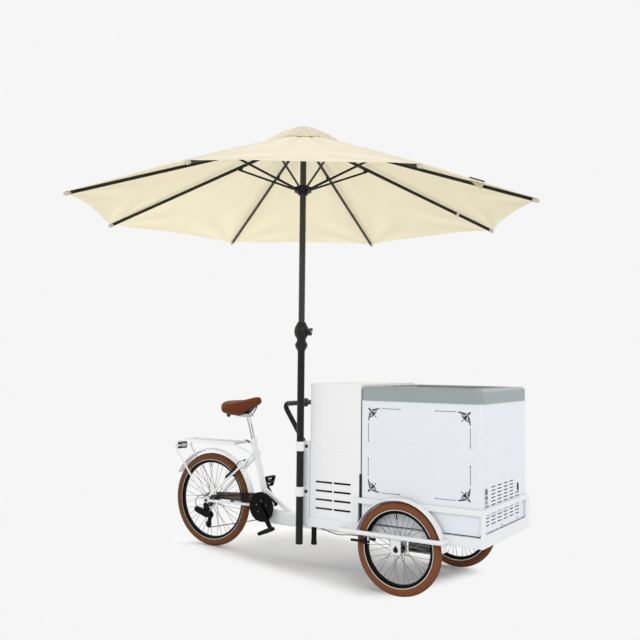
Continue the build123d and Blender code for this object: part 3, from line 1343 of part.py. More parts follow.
def upper_pole():
    top = VENT_TOP_Z - CANOPY_T - 0.4
    mast = along_z(Circle(MAST_R), MAST_BOTTOM, crown_z() + CROWN_H / 2)
    mast += along_z(Circle(MAST_R - 8), crown_z(), top)
    crown = slotted_disc(CROWN_R, CROWN_H, HINGE_RADIUS - EYE_R - 1)
    for number in range(RIBS):
        pin = rod((HINGE_RADIUS, -TONGUE_T, 0), (HINGE_RADIUS, TONGUE_T, 0), PIN_R)
        crown += Rot(0, 0, RIB_AZIMUTH + 360 / RIBS * number) * pin
    crown -= along_z(Circle(MAST_R + SEAT), -CROWN_H, CROWN_H)
    return [Pos(POLE_X, POLE_Y) * mast, Pos(POLE_X, POLE_Y, crown_z()) * crown]


def runner():
    """Sliding runner with a slot for the foot of each strut."""
    body = slotted_disc(RUNNER_R, RUNNER_H, HINGE_RADIUS - STRUT_EYE_R - 1)
    body += along_z(Circle(RUNNER_SLEEVE_R), -RUNNER_SLEEVE / 2, RUNNER_SLEEVE / 2 - 8)
    body -= along_z(Circle(MAST_R + RUN), -RUNNER_SLEEVE, RUNNER_SLEEVE)
    return Pos(POLE_X, POLE_Y, RUNNER_Z) * body


def radial(number):
    """Frame of one rib: x outward, z up, at the pole."""
    return Pos(POLE_X, POLE_Y) * Rot(0, 0, RIB_AZIMUTH + 360 / RIBS * number)


def rib_length():
    return (CANOPY_R - HINGE_RADIUS) / cos(radians(RIB_SLOPE))


def rib(number):
    """Flat tongue at the crown, box rib, and a pair of ears with the strut's pin."""
    length = rib_length()
    bar = along_x(RectangleRounded(RIB_W, RIB_H, 3), RIB_TONGUE, length)
    tongue = Circle(EYE_R) + rect(0, RIB_TONGUE + 4, -EYE_R, EYE_R)
    bar += along_y(tongue, -TONGUE_T / 2, TONGUE_T / 2)
    ear = make_hull([*(Pos(STRUT_AT, -STRUT_DROP) * Circle(STRUT_EYE_R)).edges(),
                     *rect(STRUT_AT - 16, STRUT_AT + 16, -RIB_H / 2, -RIB_H / 2 + 5).edges()])
    gap = TONGUE_T / 2 + SLIP
    for side in (RIGHT, LEFT):
        bar += along_y(ear, side * gap, side * (gap + EAR_T))
    bar += rod((STRUT_AT, -gap - EAR_T, -STRUT_DROP), (STRUT_AT, gap + EAR_T, -STRUT_DROP), PIN_R)
    bar -= rod((0, -TONGUE_T, 0), (0, TONGUE_T, 0), PIN_R + RUN)
    return radial(number) * Pos(HINGE_RADIUS, 0, crown_z()) * Rot(0, RIB_SLOPE, 0) * bar


def strut_pin():
    """Strut's pin on the open rib, in (radius, z)."""
    slope = radians(RIB_SLOPE)
    r = HINGE_RADIUS + STRUT_AT * cos(slope) - STRUT_DROP * sin(slope)
    z = crown_z() - STRUT_AT * sin(slope) - STRUT_DROP * cos(slope)
    return r, z


def strut(number):
    """Flat bar from the rib's pin to the runner, where its own stub pin lies in the slot."""
    r, z = strut_pin()
    run = hypot(r - HINGE_RADIUS, z - RUNNER_Z)
    slope = degrees(atan2(z - RUNNER_Z, r - HINGE_RADIUS))
    outline = rect(0, run, -STRUT_H / 2, STRUT_H / 2) + Circle(STRUT_EYE_R)
    outline += Pos(run, 0) * Circle(STRUT_EYE_R)
    outline -= Pos(run, 0) * Circle(PIN_R + RUN)
    bar = along_y(outline, -TONGUE_T / 2, TONGUE_T / 2)
    stub = TONGUE_T / 2 + 0.6 * SLIP
    bar += rod((0, -stub, 0), (0, stub, 0), PIN_R)
    return radial(number) * Pos(HINGE_RADIUS, 0, RUNNER_Z) * Rot(0, -slope, 0) * bar


def octagon(radius, z):
    """Canopy ring through the ribs at one radius."""
    points = []
    for number in range(RIBS):
        angle = radians(RIB_AZIMUTH + 360 / RIBS * number)
        points.append((POLE_X + radius * cos(angle), POLE_Y + radius * sin(angle), z))
    return make_face(Polyline(points, close=True))


def pyramid(rings):
    """Closed solid through canopy rings, with flat panels between the ribs."""
    return loft([octagon(radius, z) for radius, z in rings], ruled=True)


def canopy():
    """Panelled canopy over the ribs with a vent opening, and the vent cap above it."""
    slope = tan(radians(RIB_SLOPE))
    lift = (RIB_H / 2 + 0.4) / cos(radians(RIB_SLOPE))

    def cover_z(radius):
        return crown_z() - (radius - HINGE_RADIUS) * slope + lift

    top = CANOPY_T / cos(radians(RIB_SLOPE))
    rings = [(CANOPY_R, cover_z(CANOPY_R)), (VENT_HOLE_R, cover_z(VENT_HOLE_R))]
    outer = pyramid([(radius, z + top) for radius, z in rings])
    inner = pyramid(rings)
    cover = outer - inner
    cover -= along_z(Pos(POLE_X, POLE_Y) * Circle(VENT_HOLE_R * cos(pi / RIBS) - 1), 0, 2 * VENT_TOP_Z)
    vent_low = cover_z(VENT_R) + top + VENT_LIFT
    rise = VENT_TOP_Z - CANOPY_T - vent_low
    tiers = [(VENT_R, vent_low), (0.62 * VENT_R, vent_low + 0.55 * rise),
             (0.28 * VENT_R, vent_low + 0.88 * rise), (0.05 * VENT_R, vent_low + rise)]
    dome = pyramid([(radius, z + CANOPY_T) for radius, z in tiers]) - pyramid(tiers)
    return [cover, dome]


# Write each piece to its own file


def save(name, shape):
    pieces = shape if isinstance(shape, list) else [shape]
    solids = [solid for piece in pieces for solid in piece.solids()]
    placed = [Pos(-POLE_X, -POLE_Y, 0) * solid for solid in solids]
    export_step(Compound(placed) if len(placed) > 1 else placed[0], f"parts/{name}.step")


os.makedirs("parts", exist_ok=True)

save("main_frame", main_frame())
save("rear_axle", rear_axle())
save("rear_tyre", Pos(*REAR_AXLE) * tyre(REAR_WHEEL_R, REAR_TYRE_W))
save("rear_wheel", Pos(*REAR_AXLE) * wheel(REAR_WHEEL_R, REAR_FLANGE_Y, DROPOUT_HALF - 3, 29.0))
save("seat_clamp", seat_clamp())
save("seat_post", seat_post())
save("saddle", saddle())
save("rear_rack", rear_rack())
save("tail_reflector", tail_reflector())
save("rear_mudguard", rear_mudguard())
save("chain_guard", chain_guard())
save("crank_set", crank_set())
save("pedal_right", pedal(RIGHT, 1, PEDAL_TILT_RIGHT))
save("pedal_left", pedal(LEFT, -1, PEDAL_TILT_LEFT))
save("chain", chain())
save("cassette", cassette())
save("derailleur", [derailleur(), gear_cable()])
save("rear_brake_arm_right", rear_brake_arm(RIGHT))
save("rear_brake_arm_left", rear_brake_arm(LEFT))

save("chassis_frame", chassis_frame())
save("front_axles", front_axles())
save("front_brakes", front_brakes() + [brake_cable()])
save("support_leg", support_leg())
for place, side in (("right", RIGHT), ("left", LEFT)):
    hub_centre = Pos(0, side * HALF_TRACK, FRONT_WHEEL_R)
    save(f"front_tyre_{place}", hub_centre * tyre(FRONT_WHEEL_R, FRONT_TYRE_W))
    save(f"front_wheel_{place}", hub_centre * wheel(FRONT_WHEEL_R, FRONT_FLANGE_Y, HUB_HALF - SLIP))

save("freezer_body", freezer_body())
save("freezer_liner", freezer_liner())
save("freezer_cap", freezer_cap())
save("lid_rear", lid(True))
save("lid_front", lid(False))
save("compressor", compressor())
save("cabinet_body", cabinet_body())
save("cabinet_door", cabinet_door())
save("power_pack", power_pack())
save("handlebar", handlebar())
save("brake_lever", brake_lever())

save("pole_clamps", pole_clamps())
save("lower_pole", lower_pole())
save("pole_knob", pole_knob())
save("upper_pole", upper_pole())
save("runner", runner())
for number in range(RIBS):
    save(f"rib_{number + 1}", rib(number))
    save(f"strut_{number + 1}", strut(number))
save("canopy", canopy())
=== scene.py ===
from math import acos, atan2, copysign, cos, exp, hypot, pi, radians, sin, tan

import bmesh
import bpy
from mathutils import Matrix, Vector


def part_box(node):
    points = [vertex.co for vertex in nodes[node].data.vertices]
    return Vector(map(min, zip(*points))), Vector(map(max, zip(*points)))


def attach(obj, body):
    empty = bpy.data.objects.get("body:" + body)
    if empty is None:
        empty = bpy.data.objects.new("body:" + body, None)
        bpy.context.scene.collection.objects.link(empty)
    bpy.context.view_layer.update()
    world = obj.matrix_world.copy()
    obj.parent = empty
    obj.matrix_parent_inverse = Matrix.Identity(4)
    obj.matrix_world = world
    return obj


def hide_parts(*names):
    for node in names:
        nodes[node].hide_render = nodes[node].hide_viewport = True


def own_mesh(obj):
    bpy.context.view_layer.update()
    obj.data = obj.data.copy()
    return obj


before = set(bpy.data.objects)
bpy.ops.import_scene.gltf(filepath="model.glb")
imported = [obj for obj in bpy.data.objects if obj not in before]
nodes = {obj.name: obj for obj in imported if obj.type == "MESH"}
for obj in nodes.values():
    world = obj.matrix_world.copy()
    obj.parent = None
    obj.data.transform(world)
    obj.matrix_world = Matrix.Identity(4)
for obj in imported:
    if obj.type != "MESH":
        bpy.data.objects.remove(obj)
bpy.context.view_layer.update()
scene = bpy.context.scene
scene.view_settings.view_transform = "Standard"


# Camera
# Stands at chest height off the cart's front right corner, tilted a little upwards so that
# parasol and wheels both fit. The focal length is in pixels of a square picture.
PICTURE_SIDE = 640.0
FOCAL_LENGTH = 829.6
CAMERA_AT = Vector((2.689, -4.030, 1.238))
CAMERA_YAW = radians(32.441)
CAMERA_PITCH = radians(-2.97)
CAMERA_ROLL = radians(0.567)
QUARTER = radians(90)


def placed(name, data):
    thing = bpy.data.objects.new(name, data)
    scene.collection.objects.link(thing)
    return thing


camera = placed("camera", bpy.data.cameras.new("camera"))
camera.data.lens = camera.data.sensor_width * FOCAL_LENGTH / PICTURE_SIDE
heading = Matrix.Rotation(CAMERA_YAW, 4, "Z") @ Matrix.Rotation(QUARTER - CAMERA_PITCH, 4, "X")
camera.matrix_world = Matrix.Translation(CAMERA_AT) @ heading @ Matrix.Rotation(CAMERA_ROLL, 4, "Z")
scene.camera = camera


# Studio
# A pale sweep of floor that fades into an even white surround, with daylight from all
# round, a broad lamp off the front corner, weaker ones behind and one over the parasol.
BACKDROP = (0.920, 0.920, 0.920, 1)
FLOOR_PAINT = (0.88, 0.88, 0.88, 1)
# Colour of the darker patch painted on the floor under the cart as its shadow.
FLOOR_PAINTED_SHADOW = (0.66, 0.66, 0.67, 1)
FLOOR_RADIUS = 60.0
FLOOR_SIDES = 96
FLOOR_CENTRE = (-0.25, 0.58, 0.0)
FLOOR_HALF = (0.82, 0.33, 0.0)
FLOOR_FADE = (0.02, 0.24)
FLOOR_TURN = radians(15)
PAINTED_SHADOW_CENTRE = (-0.30, 0.60, 0.0)
PAINTED_SHADOW_R = (0.35, 0.85)
AMBIENT = 0.80
EDGE_SOFT = 0.0005
LAMP_SIZE = 3.0
LAMP_TARGET = Vector((0.1, 0.35, 0.9))
LAMPS = (
    ("key_lamp", (4.4, -4.4, 4.4), 100.0),
    ("fill_lamp", (-4.6, -3.0, 3.4), 30.0),
    ("back_lamp", (3.0, 5.0, 4.4), 60.0),
    ("sky_lamp", (-3.0, 1.2, 6.0), 120.0),
)


class Wire:
    """A node's socket that does arithmetic: an operator adds its Math node."""

    def __init__(self, tree, socket=None):
        self.tree = tree
        self.socket = socket

    def feed(self, inputs, sockets):
        for name, value in sockets.items():
            if isinstance(value, Wire):
                self.tree.links.new(value.socket, inputs[name])
            else:
                inputs[name].default_value = value

    def node(self, kind, sockets=None, out=0, **settings):
        made = self.tree.nodes.new(kind)
        for name, value in settings.items():
            setattr(made, name, value)
        self.feed(made.inputs, sockets or {})
        return Wire(self.tree, made.outputs[out] if made.outputs else None)

    def math(self, operation, *values):
        return self.node("ShaderNodeMath", dict(enumerate(values)), operation=operation)

    def vector(self, operation, *values, out="Vector"):
        return self.node("ShaderNodeVectorMath", dict(enumerate(values)), out, operation=operation)

    def __add__(self, other):
        return self.math("ADD", self, other)

    def __sub__(self, other):
        return self.math("SUBTRACT", self, other)

    def __rsub__(self, other):
        return self.math("SUBTRACT", other, self)

    def __mul__(self, other):
        return self.math("MULTIPLY", self, other)

    __radd__ = __add__
    __rmul__ = __mul__

    def wave(self, rate):
        return self.math("SINE", self * rate)

    def ramp(self, low, high):
        """0 below low and 1 above high, smooth between; low may be the larger."""
        sockets = {"Value": self, "From Min": low, "From Max": high}
        return self.node("ShaderNodeMapRange", sockets, interpolation_type="SMOOTHSTEP")

    def above(self, level, soft=EDGE_SOFT):
        return self.ramp(level - soft, level + soft)

    def below(self, level, soft=EDGE_SOFT):
        return self.ramp(level + soft, level - soft)

    def band(self, low, high, soft=EDGE_SOFT):
        """1 between low and high, and 0 outside them."""
        return self.above(low, soft) * self.below(high, soft)

    def blend(self, plain, other):
        """One colour where this is 0 and the other where it is 1."""
        return self.node("ShaderNodeMix", {0: self, 6: plain, 7: other}, 2, data_type="RGBA")


def bare_tree(owner):
    owner.use_nodes = True
    owner.node_tree.nodes.clear()
    return Wire(owner.node_tree)


def seen_directly(wire):
    """1 for rays that show the backdrop itself, in the picture, in metal and in glass."""
    outputs = wire.node("ShaderNodeLightPath").socket.node.outputs
    kinds = ("Is Camera Ray", "Is Glossy Ray", "Is Transmission Ray")
    camera_ray, glossy_ray, clear_ray = (Wire(wire.tree, outputs[kind]) for kind in kinds)
    return wire.math("MAXIMUM", wire.math("MAXIMUM", camera_ray, glossy_ray), clear_ray)


scene.world = bpy.data.worlds.new("studio")
sky = bare_tree(scene.world)
surround = sky.node("ShaderNodeBackground", {"Color": BACKDROP, "Strength": 1.0})
daylight = sky.node("ShaderNodeBackground", {"Color": (1, 1, 1, 1), "Strength": AMBIENT})
shown = sky.node("ShaderNodeMixShader", {0: seen_directly(sky), 1: daylight, 2: surround})
sky.node("ShaderNodeOutputWorld", {"Surface": shown})

floor_mesh = bpy.data.meshes.new("floor")
disc = bmesh.new()
bmesh.ops.create_circle(disc, cap_ends=True, radius=FLOOR_RADIUS, segments=FLOOR_SIDES)
disc.to_mesh(floor_mesh)
disc.free()
floor = placed("floor", floor_mesh)

floor_paint = bpy.data.materials.new("pale_floor")
floor_mesh.materials.append(floor_paint)
ground = bare_tree(floor_paint)
spot = ground.node("ShaderNodeTexCoord", out="Object")
turned_by = {"Vector": spot.vector("SUBTRACT", spot, FLOOR_CENTRE), "Angle": FLOOR_TURN}
offset = spot.node("ShaderNodeVectorRotate", turned_by, rotation_type="Z_AXIS")
beyond = spot.vector("SUBTRACT", spot.vector("ABSOLUTE", offset), FLOOR_HALF)
away = spot.vector("LENGTH", spot.vector("MAXIMUM", beyond, (0, 0, 0)), out="Value")
# The floor darkens towards a spot under the cart's rear: a painted shadow of the cart.
from_shadow_middle = spot.vector("DISTANCE", spot, PAINTED_SHADOW_CENTRE, out="Value")
tone = from_shadow_middle.ramp(*PAINTED_SHADOW_R).blend(FLOOR_PAINTED_SHADOW, FLOOR_PAINT)
lit = ground.node("ShaderNodeBsdfDiffuse", {"Color": tone})
bright = ground.node("ShaderNodeEmission", {"Color": BACKDROP, "Strength": 1.0})
hidden = away.ramp(*FLOOR_FADE) * seen_directly(ground)
covered = ground.node("ShaderNodeMixShader", {0: hidden, 1: lit, 2: bright})
ground.node("ShaderNodeOutputMaterial", {"Surface": covered})

for lamp_name, lamp_at, lamp_power in LAMPS:
    lamp = placed(lamp_name, bpy.data.lights.new(lamp_name, "AREA"))
    lamp.data.size = LAMP_SIZE
    lamp.data.energy = lamp_power
    lamp.location = lamp_at
    lamp.rotation_euler = (LAMP_TARGET - lamp.location).to_track_quat("-Z", "Y").to_euler()


# Rear frame
# Welded steel tube: a box beam to the steering head, a seat tube and two pairs of stays,
# all under one coat of white powder paint with a faint orange peel.
WHITE_PAINT = (0.825, 0.842, 0.868)
CLOUD_SCALE = 4.0
GLOSS_SCALE = 38.0
GLOSS_SPREAD = 0.35
MICROMETRE = 0.000001
MASK_SOFT = 0.0004


class Finish:
    """A Principled material whose maths is written with Wire."""

    def __init__(self, name, sockets):
        self.material = bpy.data.materials.new(name)
        self.material.use_nodes = True
        tree = self.material.node_tree
        self.shader = tree.nodes["Principled BSDF"]
        self.plain = Wire(tree, self.shader.outputs[0])
        self.place = self.plain.node("ShaderNodeTexCoord", out="Object")
        self.set(sockets)

    def set(self, sockets):
        self.plain.feed(self.shader.inputs, sockets)

    def surface(self, factor, first, second):
        """Two shaders mixed into the surface, the second where the factor is 1."""
        both = self.plain.node("ShaderNodeMixShader", {0: factor, 1: first, 2: second})
        both.feed(both.tree.nodes["Material Output"].inputs, {"Surface": both})

    def axis(self, index):
        return self.place.node("ShaderNodeSeparateXYZ", {0: self.place}, index)

    def noise(self, scale, detail=3.0):
        sockets = {"Vector": self.place, "Scale": scale, "Detail": detail}
        return self.place.node("ShaderNodeTexNoise", sockets)

    def relief(self, height, depth):
        """Bumps of a depth in micrometres."""
        bump = {"Height": height, "Distance": depth * MICROMETRE, "Strength": 1.0}
        self.set({"Normal": self.place.node("ShaderNodeBump", bump)})

    def from_line(self, point, direction):
        """Distance from a line."""
        away = self.place.vector("SUBTRACT", self.place, tuple(point))
        across = away.vector("CROSS_PRODUCT", away, tuple(direction))
        return away.vector("LENGTH", across, out="Value")

    def inside(self, low, high):
        """1 inside a box given by two corners, and 0 outside it."""
        x, y, z = (self.axis(index).band(low[index], high[index], MASK_SOFT) for index in range(3))
        return x * y * z

    def cover(self, mask, colour, roughness=None, metallic=None):
        """Another colour, and gloss or metal if given, inside a box or where a mask is 1."""
        if not isinstance(mask, Wire):
            mask = self.inside(*mask)
        self.tone = mask.blend(self.tone, opaque(colour))
        self.set({"Base Color": self.tone})
        if roughness is not None:
            self.gloss = self.gloss + mask * (roughness - self.gloss)
            self.set({"Roughness": self.gloss})
        if metallic is not None:
            plain = self.shader.inputs["Metallic"].default_value
            self.set({"Metallic": plain + mask * (metallic - plain)})
        return self


def opaque(colour, share=1.0):
    return (*(min(1.0, part * share) for part in colour), 1)


def grained(name, colour, roughness, tint, grain, depth, sockets=None):
    """A finish with a cloudy tint, uneven gloss and a fine grain of a depth in micrometres."""
    finish = Finish(name, sockets or {})
    finish.tone = finish.noise(CLOUD_SCALE).blend(opaque(colour, 1 - tint), opaque(colour, 1 + tint))
    finish.gloss = roughness + (finish.noise(GLOSS_SCALE) - 0.5) * roughness * GLOSS_SPREAD
    finish.set({"Base Color": finish.tone, "Roughness": finish.gloss})
    finish.relief(finish.noise(grain, 2.0), depth)
    return finish


def paint(finish, *names):
    """Gives CAD nodes their finish."""
    for name in names:
        slots = nodes[name].data.materials
        for index in range(len(slots)):
            slots[index] = finish.material
        if not slots:
            slots.append(finish.material)


def white_coat(name):
    return grained(name, WHITE_PAINT, 0.32, 0.012, 420, 40, {"Coat Weight": 0.25})


paint(white_coat("white_frame_paint"), "main_frame")


# Rear rack, mudguard and reflector
# A white tube hoop with a pale sheet deck over a steel mudguard on thin wire stays; the
# reflector sits in a black moulded frame clipped to the hoop's tail.
REAR_HUB = Vector((-0.966, 0.387, 0.310))
AXLE_LINE = (0, 1, 0)
MUDGUARD_INSIDE = 0.3213
RACK_DECK = ((-1.3, 0.330, 0.694), (-0.70, 0.444, 0.715))
LENS_MARGIN = Vector((-0.01, 0.018, 0.010))
LENS_RIDGES = 2600.0

paint(white_coat("white_rack_paint").cover(RACK_DECK, (0.60, 0.61, 0.62), 0.38), "rear_rack")
guard_paint = white_coat("white_mudguard_paint")
wires = guard_paint.from_line(REAR_HUB, AXLE_LINE).ramp(MUDGUARD_INSIDE, MUDGUARD_INSIDE - 0.001)
guard_paint.cover(wires, (0.42, 0.42, 0.43), 0.3, 0.9)
paint(guard_paint, "rear_mudguard")
reflector_low, reflector_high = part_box("tail_reflector")
reflector_frame = grained("reflector_frame", (0.012, 0.012, 0.013), 0.45, 0.1, 900, 40)
lens = (reflector_low + LENS_MARGIN, reflector_high - LENS_MARGIN)
reflector_frame.cover(lens, (0.52, 0.50, 0.49), 0.35)
reflector_frame.relief(reflector_frame.axis(1).wave(LENS_RIDGES), 30)
paint(reflector_frame, "tail_reflector")


# Saddle and post
# Brown leathercloth over foam with a stitched seam round its skirt, on a black moulded base
# with two rubber bumpers under the tail. The base sits on the rails of a chromed post.
BOTTOM_BRACKET = Vector((-0.506, 0.387, 0.312))
SEAT_TUBE_LEAN = radians(16.5)
CLAMP_RING_R = 0.0275
RAIL_NOSE = ((-0.640, 0.30, 0.893), (-0.55, 0.47, 1.0))
MOULD_BLACK = (0.010, 0.010, 0.011)
METAL = {"Metallic": 1.0}
SADDLE_AT = Vector((-0.6761, 0.387, 0.8863))
SADDLE_TILT = radians(8)
SADDLE_LENGTH = 0.278
SADDLE_TAIL = -0.164
SADDLE_HALF = 0.103
SADDLE_BASE = 0.0198
SADDLE_HEIGHT = 0.093
SADDLE_BELLY = 0.40
SADDLE_ROUND = (0.78, 0.90, 0.50)
SADDLE_STEPS = (56, 72)
GROOVE = (0.0045, 0.017)
GROOVE_STARTS = (0.06, 0.2)
GROOVE_ENDS = (0.5, 0.72)
SEAM_ANGLE = 0.16
SEAM_DIP = (0.0016, 0.06)
STITCH_ANGLE = SEAM_ANGLE + 0.10
STITCH_REACH = (0.03, 0.97)
STITCH_PITCH = 0.0065
STITCH_STEPS = 400
BASE_ANGLE = pi + 1.00
BASE_REACH = (0.045, 0.945)
BASE_STEPS = (29, 23)
BASE_PROUD = 0.0014
BASE_T = Vector((0, 0, 0.004))
BUMPER_AT = (0.040, 0.050, 0.004)
SADDLE_STATIONS = (
    # share of the length, share of the half width, underside and top as shares of the height
    (0.000, 0.30, 0.56, 0.74),
    (0.004, 0.46, 0.47, 0.82),
    (0.012, 0.63, 0.37, 0.90),
    (0.03, 0.80, 0.24, 0.97),
    (0.10, 0.97, 0.08, 1.01),
    (0.25, 1.00, -0.06, 1.00),
    (0.40, 0.88, -0.13, 0.96),
    (0.55, 0.62, -0.06, 0.94),
    (0.70, 0.40, 0.16, 0.96),
    (0.85, 0.28, 0.38, 1.00),
    (0.95, 0.23, 0.48, 0.98),
    (0.985, 0.164, 0.56, 0.92),
    (0.995, 0.10, 0.63, 0.85),
    (1.000, 0.03, 0.71, 0.77),
)


def ease(value, low, high):
    share = min(1.0, max(0.0, (value - low) / (high - low)))
    return share * share * (3 - 2 * share)


def spread(low, high, steps):
    """Even values from low to high, both of them included."""
    return [low + (high - low) * step / steps for step in range(steps + 1)]


def full_turn(count, start=0.0):
    """Even angles once round."""
    return [start + 2 * pi * number / count for number in range(count)]


def through(stations, share):
    """A smooth curve through rows of numbers, read at a share of the first column."""
    last = len(stations) - 2
    here = max(index for index in range(last + 1) if stations[index][0] <= share or index == 0)
    before, start = stations[max(0, here - 1)], stations[here]
    end, after = stations[here + 1], stations[min(last + 1, here + 2)]
    part = (share - start[0]) / (end[0] - start[0])
    values = []
    for a, b, c, d in zip(before[1:], start[1:], end[1:], after[1:]):
        bend = (2 * a - 5 * b + 4 * c - d) * part ** 2 + (3 * b - a - 3 * c + d) * part ** 3
        values.append(b + 0.5 * ((c - a) * part + bend))
    return values


def power(value, exponent):
    return copysign(abs(value) ** exponent, value)


def saddle_point(along, across, up):
    forward = Vector((cos(SADDLE_TILT), 0, sin(SADDLE_TILT)))
    upward = Vector((-sin(SADDLE_TILT), 0, cos(SADDLE_TILT)))
    return SADDLE_AT + forward * along + upward * up + Vector((0, across, 0))


def saddle_section(share, angle, swell):
    """Point of the saddle's skin; swell moves it out of the skin."""
    wide, under, over = through(SADDLE_STATIONS, share)
    low, high = SADDLE_BASE + under * SADDLE_HEIGHT, SADDLE_BASE + over * SADDLE_HEIGHT
    middle = low + SADDLE_BELLY * (high - low)
    round_side, round_top, round_foot = SADDLE_ROUND
    across = wide * SADDLE_HALF * power(cos(angle), round_side)
    if sin(angle) > 0:
        up = middle + (high - middle) * power(sin(angle), round_top)
        deep = GROOVE[0] * ease(share, *GROOVE_STARTS) * (1 - ease(share, *GROOVE_ENDS))
        up -= deep * exp(-(across / GROOVE[1]) ** 2)
    else:
        up = middle + (middle - low) * power(sin(angle), round_foot)
    across += swell * cos(angle)
    up += swell * sin(angle)
    return saddle_point(SADDLE_TAIL + share * SADDLE_LENGTH, across, up)


def lattice(rows, columns, loop_rows=False, loop_columns=True):
    """Faces of a grid of points, closed round its rows or its columns if asked."""
    faces = []
    for row in range(rows - (not loop_rows)):
        here, there = row * columns, (row + 1) % rows * columns
        for column in range(columns - (not loop_columns)):
            beside = (column + 1) % columns
            faces.append((here + column, here + beside, there + beside, there + column))
    return faces


def tube_faces(rows, columns):
    """Faces of a grid of rings, closed at both ends."""
    last = (rows - 1) * columns
    return lattice(rows, columns) + [tuple(reversed(range(columns))), tuple(range(last, last + columns))]


def shell(upper, lower, ring=False):
    """A closed thin body between two grids of points, as points and faces."""
    columns = len(upper[0])
    back = len(upper) * columns
    points = [point for grid in (upper, lower) for row in grid for point in row]
    tops = [(a, d, c, b) for a, b, c, d in lattice(len(upper), columns, False, ring)]
    sides = {(face[index - 1], face[index]) for face in tops for index in range(4)}
    faces = tops + [tuple(back + index for index in reversed(face)) for face in tops]
    faces += [(b, a, a + back, b + back) for a, b in sorted(sides) if (b, a) not in sides]
    return points, faces


def mesh_of(name, points, faces=(), edges=()):
    made = bpy.data.meshes.new(name)
    made.from_pydata(points, edges, faces)
    return made


def finished(name, made, body, sharp):
    """A mesh as an object that rides a body, smooth but for its sharp edges."""
    made.shade_smooth()
    made.set_sharp_from_angle(angle=radians(sharp))
    thing = placed(name, made)
    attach(thing, body)
    return thing


def piece(name, shape, finish, body, sharp=40):
    """An object from points and faces, its normals outwards."""
    made = mesh_of(name, *shape)
    made.materials.append(finish.material)
    solid = bmesh.new()
    solid.from_mesh(made)
    bmesh.ops.recalc_face_normals(solid, faces=solid.faces)
    solid.to_mesh(made)
    solid.free()
    return finished(name, made, body, sharp)


brown_leather = grained("brown_leather", (0.134, 0.031, 0.008), 0.44, 0.07, 900, 50,
                        {"Specular IOR Level": 0.14})
saddle_rows, saddle_columns = SADDLE_STEPS
points = []
for row in range(saddle_rows):
    share = 0.5 - 0.5 * cos(pi * row / (saddle_rows - 1))
    for angle in full_turn(saddle_columns):
        from_seam = min(abs(angle - SEAM_ANGLE), abs(pi - angle - SEAM_ANGLE))
        points.append(saddle_section(share, angle, -SEAM_DIP[0] * exp(-(from_seam / SEAM_DIP[1]) ** 2)))
pad = points, tube_faces(saddle_rows, saddle_columns)
saddle_cover = piece("saddle_cover", pad, brown_leather, "seat", 60)
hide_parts("saddle")


def tree_with(name, inputs):
    """Wires of the named inputs of a new geometry node tree."""
    tree = bpy.data.node_groups.new(name, "GeometryNodeTree")
    for socket_name, kind in inputs.items():
        tree.interface.new_socket(socket_name, in_out="INPUT", socket_type=f"NodeSocket{kind}")
    tree.interface.new_socket("Result", in_out="OUTPUT", socket_type="NodeSocketGeometry")
    outputs = Wire(tree).node("NodeGroupInput").socket.node.outputs
    return {out.name: Wire(tree, out) for out in outputs}


def close_tree(instances, finish):
    """Makes the instances real, gives them their finish and returns the tree."""
    solid = instances.node("GeometryNodeRealizeInstances", {0: instances})
    coated = solid.node("GeometryNodeSetMaterial", {"Geometry": solid, "Material": finish})
    coated.node("NodeGroupOutput", {"Result": coated})
    return coated.tree


def copies_tree():
    """Geometry nodes that set a shape on each point, turned by the point's own angles."""
    kinds = {"Points": "Geometry", "Shape": "Object", "Finish": "Material", "Size": "Float"}
    given = tree_with("copies_on_points", kinds)
    wire = given["Points"]
    shape = wire.node("GeometryNodeObjectInfo", {"Object": given["Shape"]}, "Geometry")
    angles = wire.node("GeometryNodeInputNamedAttribute", {"Name": "turn"}, data_type="FLOAT_VECTOR")
    spots = {"Points": wire, "Instance": shape, "Rotation": angles, "Scale": given["Size"]}
    return close_tree(wire.node("GeometryNodeInstanceOnPoints", spots), given["Finish"])


def grow(name, tree, seed, inputs, body, sharp):
    """The plain mesh that a node tree makes from a seed mesh and shapes, riding a body."""
    helpers = [placed(f"{name}_seed", seed)]
    modifier = helpers[0].modifiers.new("grow", "NODES")
    modifier.node_group = tree
    for item in tree.interface.items_tree:
        if item.in_out == "INPUT" and item.name in inputs:
            value = inputs[item.name]
            if isinstance(value, tuple):
                helpers.append(placed(f"{name}_shape", mesh_of(f"{name}_shape", *value)))
                value = helpers[-1]
            modifier[item.identifier] = value
    graph = bpy.context.evaluated_depsgraph_get()
    made = bpy.data.meshes.new_from_object(helpers[0].evaluated_get(graph))
    made.name = name
    for helper in helpers:
        bpy.data.objects.remove(helper)
    return finished(name, made, body, sharp)


def copies(name, shape, spots, finish, body, sharp=40):
    """A small shape, given as points and faces, set at each (place, angles)."""
    seed = mesh_of(f"{name}_points", [place for place, angles in spots])
    turns = seed.attributes.new("turn", "FLOAT_VECTOR", "POINT")
    for turn, (place, angles) in zip(turns.data, spots):
        turn.vector = angles
    inputs = {"Shape": shape, "Finish": finish.material, "Size": 1.0}
    return grow(name, on_points, seed, inputs, body, sharp)


def polar(reach, angle):
    return reach * cos(angle), reach * sin(angle)


def pill(length, radius, sides=6, flat=(1, 1)):
    """A rod along x with domed ends, flattened in y and z, as points and faces."""
    half = length / 2
    dome = min(radius, 0.4 * length)
    rings = ((-half, 0.35), (-half + 0.4 * dome, 0.85), (-half + dome, 1.0),
             (half - dome, 1.0), (half - 0.4 * dome, 0.85), (half, 0.35))
    points = []
    for x, share in rings:
        for angle in full_turn(sides):
            y, z = polar(radius * share, angle)
            points.append((x, y * flat[0], z * flat[1]))
    return points, tube_faces(len(rings), sides)


def along(direction):
    """Angles that turn the x axis to a direction."""
    return direction.to_track_quat("X", "Z").to_euler()


